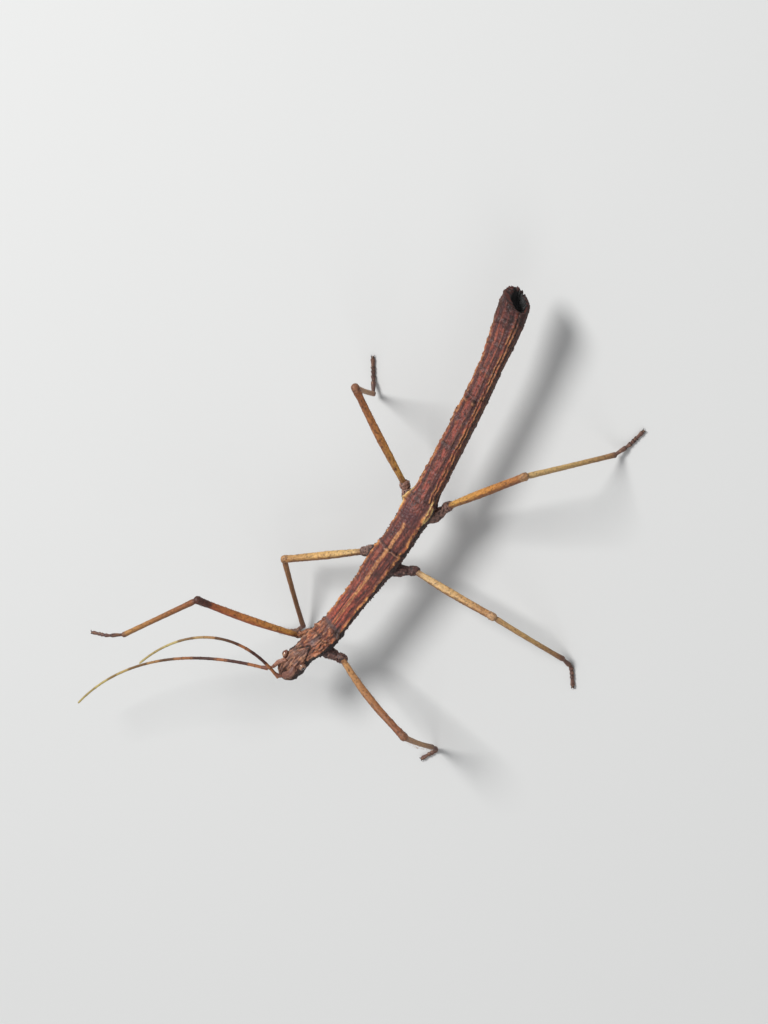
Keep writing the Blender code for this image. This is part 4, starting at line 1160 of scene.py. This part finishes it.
def add_foot(skin, name, ankle, middle, end, seed):
    """Five short foot joints with pads beneath, laid on the floor unless the leg is raised."""
    raised = "ankle" not in LEGS[name]
    knots = (ankle, ankle.lerp(middle, 0.5), ankle.lerp(middle, 0.84), middle.lerp(end, 0.14),
             middle.lerp(end, 0.5), end)
    count, columns = 150, 24
    path = curve_through(knots, count)
    t = np.linspace(0, 1, count)
    radius = np.full(count, 0.24)
    for start, stop in zip(TARSOMERES, TARSOMERES[1:]):
        inside = (t >= start) & (t <= stop)
        u = (t - start) / (stop - start)
        swell = 0.27 + 0.11 * smooth(0.2, 0.85, u) - 0.1 * smooth(0.93, 1.0, u)
        radius = np.where(inside, swell, radius)
    radius = radius * np.interp(t, (0, 0.02, 0.9, 0.99, 1.0), (0.7, 1.05, 0.95, 0.9, 0.4))
    if raised:
        radius = radius * RAISED_FOOT_SIZE
    turn, streak, spots = limb_texture(path, columns, 2.0, seed)
    points = sweep(path, radius, columns, 0.02 * streak + 0.05 * np.clip(-np.sin(turn), 0, 1))
    if not raised:
        points[..., 2] = np.maximum(points[..., 2], FLOOR_CLEARANCE)
    colour = between(FOOT_COLOUR, FOOT_PALE, smooth(0.1, 0.7, streak) * 0.6)
    colour = mix(colour, linear(DARK), smooth(0.2, 0.8, spots) * 0.6)
    for stop in TARSOMERES[1:-1]:
        colour = mix(colour, linear(BLACKISH), bell(t, stop, 0.02)[:, None] * 0.7)
    skin.add_grid(points, colour)
    forward = (end - middle).normalized()
    pad = end + forward * 0.12
    height = pad.z - 0.06 if raised else max(pad.z - 0.06, 0.2)
    turn_z = math.atan2(-forward.x, forward.y)
    add_ball(skin, (pad.x, pad.y, height), (0.2, 0.24, 0.19), linear(PAD_COLOUR), turn_z)
    return path, radius


def make_claws(name, middle, end, material):
    """Two curved claws at the tip of a foot."""
    form = Form()
    raised = "ankle" not in LEGS[name]
    forward = (end - middle).normalized()
    side = forward.cross(Vector((0, 0, 1))).normalized()
    for way in (-1, 1):
        out = (forward + side * way * 0.75).normalized()
        low = -0.3 if raised else -0.2
        knots = (end - forward * 0.1 + side * way * 0.1, end + out * 0.35 + Vector((0, 0, 0.06)),
                 end + out * 0.62 + forward * 0.05 + Vector((0, 0, low)))
        path = curve_through(knots, 24)
        radius = np.interp(np.linspace(0, 1, len(path)), (0, 0.5, 1), (0.1, 0.075, 0.012))
        points = sweep(path, radius, 12)
        if not raised:
            points[..., 2] = np.maximum(points[..., 2], FLOOR_CLEARANCE)
        form.add_grid(points, linear(CLAW_COLOUR))
    return form.build("claws_" + name, material)


# Antennae

def bezier(controls, t):
    a, b, c, d = (np.asarray(control) for control in controls)
    t = t[:, None]
    u = 1 - t
    return a * u ** 3 + b * 3 * u * u * t + c * 3 * u * t * t + d * t ** 3


def add_scape(form, name):
    """The broad flat first joint of a feeler."""
    antenna = ANTENNAE[name]
    place, angle = antenna["root"]
    root = body_point(place + 0.6, angle * 0.7, 0.1)
    lift = body_point(place, angle) + body_normal(place, angle) * SCAPE_LIFT
    tip = Vector(antenna["scape_end"])
    path = curve_through((root, lift.lerp(tip, 0.2), lift.lerp(tip, 0.6), tip), 60)
    t = np.linspace(0, 1, len(path))
    half, columns = antenna["scape_width"], 32
    width = half * np.interp(t, (0, 0.08, 0.3, 0.7, 0.92, 1.0), (0.5, 0.85, 1.02, 1.0, 0.9, 0.4))
    turn, streak, spots = limb_texture(path, columns, 2.4, 3.0 + half)
    relief = 0.03 * streak + 0.04 * bell(np.abs(np.sin(turn)), 1.0, 0.2)
    colour = between(antenna["scape_colour"], SCAPE_SPOTS, smooth(0.0, 0.6, spots) * 0.8)
    colour = mix(colour, linear(SCAPE_STREAKS), smooth(0.3, 0.8, streak) * 0.45)
    form.add_grid(sweep(path, width, columns, relief, SCAPE_HALF_THICKNESS / half), colour)


def add_pedicel(form, tip, flagellum):
    """The barrel-shaped second joint of a feeler."""
    path = curve_through((tip, tip.lerp(Vector(flagellum[6]), 0.6), Vector(flagellum[12])), 30)
    barrel = np.interp(np.linspace(0, 1, len(path)), (0, 0.2, 0.6, 0.9, 1), (0.2, 0.3, 0.32, 0.28, 0.2))
    form.add_grid(sweep(path, barrel, 20), linear(PEDICEL_COLOUR))


def make_antenna(name, material):
    """The first two joints and the ringed, banded rest of a feeler, with its path and radius."""
    form = Form()
    count = 420
    flagellum = bezier(ANTENNAE[name]["curve"], np.linspace(0, 1, count))
    add_scape(form, name)
    add_pedicel(form, Vector(ANTENNAE[name]["scape_end"]), flagellum)

    t = np.linspace(0, 1, count)
    length = path_lengths(flagellum)
    radius = FLAGELLUM_RADIUS + (FLAGELLUM_TIP_RADIUS - FLAGELLUM_RADIUS) * t
    phase = (length / (1.15 + 0.7 * t)) % 1.0
    radius = radius * (1 + 0.09 * smooth(0.6, 0.95, phase) - 0.1 * smooth(0.95, 1.0, phase))
    radius[-4:] *= (0.9, 0.75, 0.5, 0.2)
    bands = smooth(-0.2, 0.5, np.sin(length * 0.95) + 0.5 * np.sin(length * 0.41 + 1.0))
    dark = between(*DARK_BANDS, smooth(0.2, 0.7, t))
    pale = between(*PALE_BANDS, smooth(0.3, 0.8, t))
    colour = mix(dark, pale, np.clip(bands * 0.8 + smooth(0.6, 0.95, t) * 0.7, 0, 1))
    colour = mix(colour, linear(RING_BROWN), bell(phase, 0.97, 0.07) * (0.85 - 0.55 * smooth(0.2, 0.7, t)))
    form.add_grid(sweep(flagellum, radius, 14), np.repeat(colour[:, None, :], 14, axis=1))
    return form.build("antenna_" + name, material), flagellum, radius


# Fine hairs

class Hairs(Form):
    """Thin bristles, each with a small patch of its own on the map of the skin."""

    def __init__(self, rows):
        super().__init__()
        self.patches = []
        self.row, self.rows = 0, rows

    def grow(self, path, radius, count, length, width=HAIR_WIDTH):
        """Scatters hairs over a limb. Each limb has its own row of the map."""
        forward, side, up = path_frames(path)
        share = RANDOM.uniform(0.04, 0.98, count)
        turns = RANDOM.uniform(0, 2 * np.pi, count)
        index = (share * (len(path) - 1)).astype(int)
        out = side[index] * np.cos(turns)[:, None] + up[index] * np.sin(turns)[:, None]
        roots = path[index] + out * (np.asarray(radius)[index, None] - 0.02)
        sizes = length * RANDOM.uniform(0.6, 1.2, count)[:, None]
        tips = roots + out * sizes * 0.8 + forward[index] * sizes * 0.6
        keep = (tips[:, 2] > 0.05) & (tips[:, 2] < HAIR_TOP)
        self.add_thorns(roots[keep], tips[keep], width, linear(HAIR_COLOUR), 3)
        across = self.row + turns[keep] / (2 * np.pi) * 0.9
        self.patches.append(np.stack([share[keep] * 0.98, across / self.rows], -1))
        self.row += 1

    def build(self, name, material):
        piece = super().build(name, material)
        mesh = piece.data
        layer = mesh.uv_layers.new(name="OFBake")
        per_hair = 9
        loops = np.empty(len(mesh.loops), dtype=np.int64)
        mesh.loops.foreach_get("vertex_index", loops)
        step = loops % per_hair
        uv = np.concatenate(self.patches)[loops // per_hair]
        uv = uv + np.stack([(step % 3) * 0.0012, (step // 3) * 0.0012], -1)
        layer.data.foreach_set("uv", np.clip(uv, 0, 1).ravel())
        return piece


# Materials

def new_material(name):
    material = bpy.data.materials.new(name)
    material.use_nodes = True
    return material, material.node_tree.nodes["Principled BSDF"]


def set_inputs(node, values):
    """Sets some inputs of a node, each by its name or number."""
    for key, value in values.items():
        node.inputs[key].default_value = value


def add_node(material, kind, values=None):
    """A node of a kind, with some of its inputs set."""
    node = material.node_tree.nodes.new("ShaderNode" + kind)
    set_inputs(node, values or {})
    return node


def add_links(material, links):
    """Links from an output of one node to an input of another, each by name or number."""
    for source, output, target, entry in links:
        material.node_tree.links.new(source.outputs[output], target.inputs[entry])


def add_tint(material):
    """The node that reads the colours painted on the points."""
    tint = add_node(material, "Attribute")
    tint.attribute_name = "tint"
    return tint


def cuticle_material(name, roughness, grain_scale, bump_height, contrast):
    """Horny skin: the painted tint, broken up by fine grain, with bump and uneven gloss."""
    material, shader = new_material(name)
    tint = add_tint(material)
    place = add_node(material, "TexCoord")
    grain = add_node(material, "TexNoise", {"Scale": grain_scale, "Detail": 6.0, "Roughness": 0.65})
    speck = add_node(material, "TexVoronoi", {"Scale": grain_scale * 1.6})
    shade = add_node(material, "MapRange", {"From Min": 0.3, "From Max": 0.7,
                                            "To Min": 1.0 - contrast, "To Max": 1.0 + contrast})
    colour = add_node(material, "VectorMath")
    colour.operation = "SCALE"
    gloss = add_node(material, "MapRange", {"To Min": roughness - 0.12, "To Max": roughness + 0.14})
    height = add_node(material, "Math", {1: 0.5})
    height.operation = "MULTIPLY_ADD"
    bump = add_node(material, "Bump", {"Strength": 0.7, "Distance": bump_height * MM})
    add_links(material, (
        (place, "Object", grain, "Vector"),
        (place, "Object", speck, "Vector"),
        (grain, "Fac", shade, "Value"),
        (tint, "Color", colour, 0),
        (shade, "Result", colour, "Scale"),
        (colour, "Vector", shader, "Base Color"),
        (grain, "Fac", gloss, "Value"),
        (gloss, "Result", shader, "Roughness"),
        (speck, "Distance", height, 0),
        (grain, "Fac", height, 2),
        (height, "Value", bump, "Height"),
        (bump, "Normal", shader, "Normal"),
    ))
    set_inputs(shader, {"Specular IOR Level": 0.4})
    return material


def eye_material():
    """Smooth, moist-looking eye with fine facets."""
    material, shader = new_material("eye")
    tint = add_tint(material)
    place = add_node(material, "TexCoord")
    facets = add_node(material, "TexVoronoi", {"Scale": 16000.0})
    bump = add_node(material, "Bump", {"Strength": 0.25, "Distance": 0.02 * MM})
    add_links(material, (
        (tint, "Color", shader, "Base Color"),
        (place, "Object", facets, "Vector"),
        (facets, "Distance", bump, "Height"),
        (bump, "Normal", shader, "Normal"),
    ))
    set_inputs(shader, {"Roughness": 0.18, "Coat Weight": 0.6, "Coat Roughness": 0.08})
    return material


# Stage

def add_area_light(name, place, size, power):
    light = bpy.data.lights.new(name, "AREA")
    light.shape = "DISK"
    light.size = size
    light.energy = power
    lamp = link_object(name, light)
    lamp.location = place
    lamp.rotation_euler = (LIT_PLACE - Vector(place)).to_track_quat("-Z", "Y").to_euler()


def add_camera():
    data = bpy.data.cameras.new("camera")
    data.lens = CAMERA_LENS
    data.sensor_width = SENSOR
    data.clip_start = 0.01
    data.clip_end = 10.0
    camera = link_object("camera", data)
    camera.location = (Vector(CAMERA_PLACE) + Vector(OFFSET)) * MM
    camera.rotation_euler = Euler([math.radians(turn) for turn in CAMERA_TURN], "XYZ")
    bpy.context.scene.camera = camera


def build_stage():
    """The pale floor, the soft light of the room, two lamps and the camera."""
    scene = bpy.context.scene
    mesh = bpy.data.meshes.new("floor")
    corners = [(x * FLOOR_HALF, y * FLOOR_HALF, 0) for x, y in ((-1, -1), (1, -1), (1, 1), (-1, 1))]
    mesh.from_pydata(corners, [], [(0, 1, 2, 3)])
    material, shader = new_material("floor")
    set_inputs(shader, {"Base Color": FLOOR_TINT, "Roughness": FLOOR_ROUGHNESS})
    mesh.materials.append(material)
    floor = link_object("floor", mesh)
    scene.world = bpy.data.worlds.new("studio")
    scene.world.use_nodes = True
    set_inputs(scene.world.node_tree.nodes["Background"], {"Color": SKY_TINT, "Strength": SKY_STRENGTH})
    for name, (place, size, power) in LIGHTS.items():
        add_area_light(name, place, size, power)
    scene.view_settings.view_transform = "Standard"
    add_camera()


def frame_offset():
    """How far the solids were moved so that their box is centred over the origin."""
    low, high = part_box("eye_left")
    middle = (np.array(low) + np.array(high)) / 2 / MM
    return middle - eye_centre("left")


def nodes_of(*starts):
    return [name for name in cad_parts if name.startswith(starts)]


def add_leg(skin, hairs, name, seed, horn):
    """One leg's part of the skin, its claws and its hairs."""
    hip, knee, ankle, middle, end = leg_joints(name)
    add_hip(skin, name, hip, knee, seed)
    add_femur(skin, name, hip, knee, seed + 0.5)
    add_tibia(skin, name, knee, ankle, seed + 1.0)
    foot_path, foot_radius = add_foot(skin, name, ankle, middle, end, seed + 1.5)
    claws = make_claws(name, middle, end, horn)
    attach(claws, "root")
    for start, stop, (radius, count, length) in ((hip, knee, FEMUR_HAIRS), (knee, ankle, TIBIA_HAIRS)):
        reach = (stop - start).length - 0.5
        path = limb_path(start, stop, LEGS[name]["bow"] * 0.6, 1.0, reach, 80)[0]
        hairs.grow(path, np.full(len(path), radius), count, length)
    hairs.grow(foot_path, foot_radius, *FOOT_HAIRS)


def main():
    build_stage()
    shell, feeler, horn, bristle = (cuticle_material(name, *finish) for name, finish in FINISHES.items())
    glossy = eye_material()

    skin = Form()
    hairs = Hairs(len(LEGS) * 3 + len(ANTENNAE))
    add_body(skin)
    add_flank_spines(skin)
    add_mouthparts(skin)
    add_orbits(skin)
    for number, name in enumerate(LEGS):
        add_leg(skin, hairs, name, 20.0 + number * 3, horn)
    for name in ANTENNAE:
        antenna, path, radius = make_antenna(name, feeler)
        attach(antenna, "root")
        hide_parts(*nodes_of("scape_" + name, "antenna_" + name))
        hairs.grow(path, radius, *ANTENNA_HAIRS)
    for name in EYES:
        eye = make_eye(name, glossy)
        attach(eye, "root")
        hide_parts("eye_" + name)

    body = skin.build("skin", shell)
    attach(body, "root")
    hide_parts(*nodes_of("head", "pronotum", "mesothorax", "metathorax", "abdomen", "tail"),
                *nodes_of("coxa", "femur", "tibia", "tarsus"))
    down = hairs.build("hairs", bristle)
    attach(down, "root")


OFFSET = frame_offset()
main()
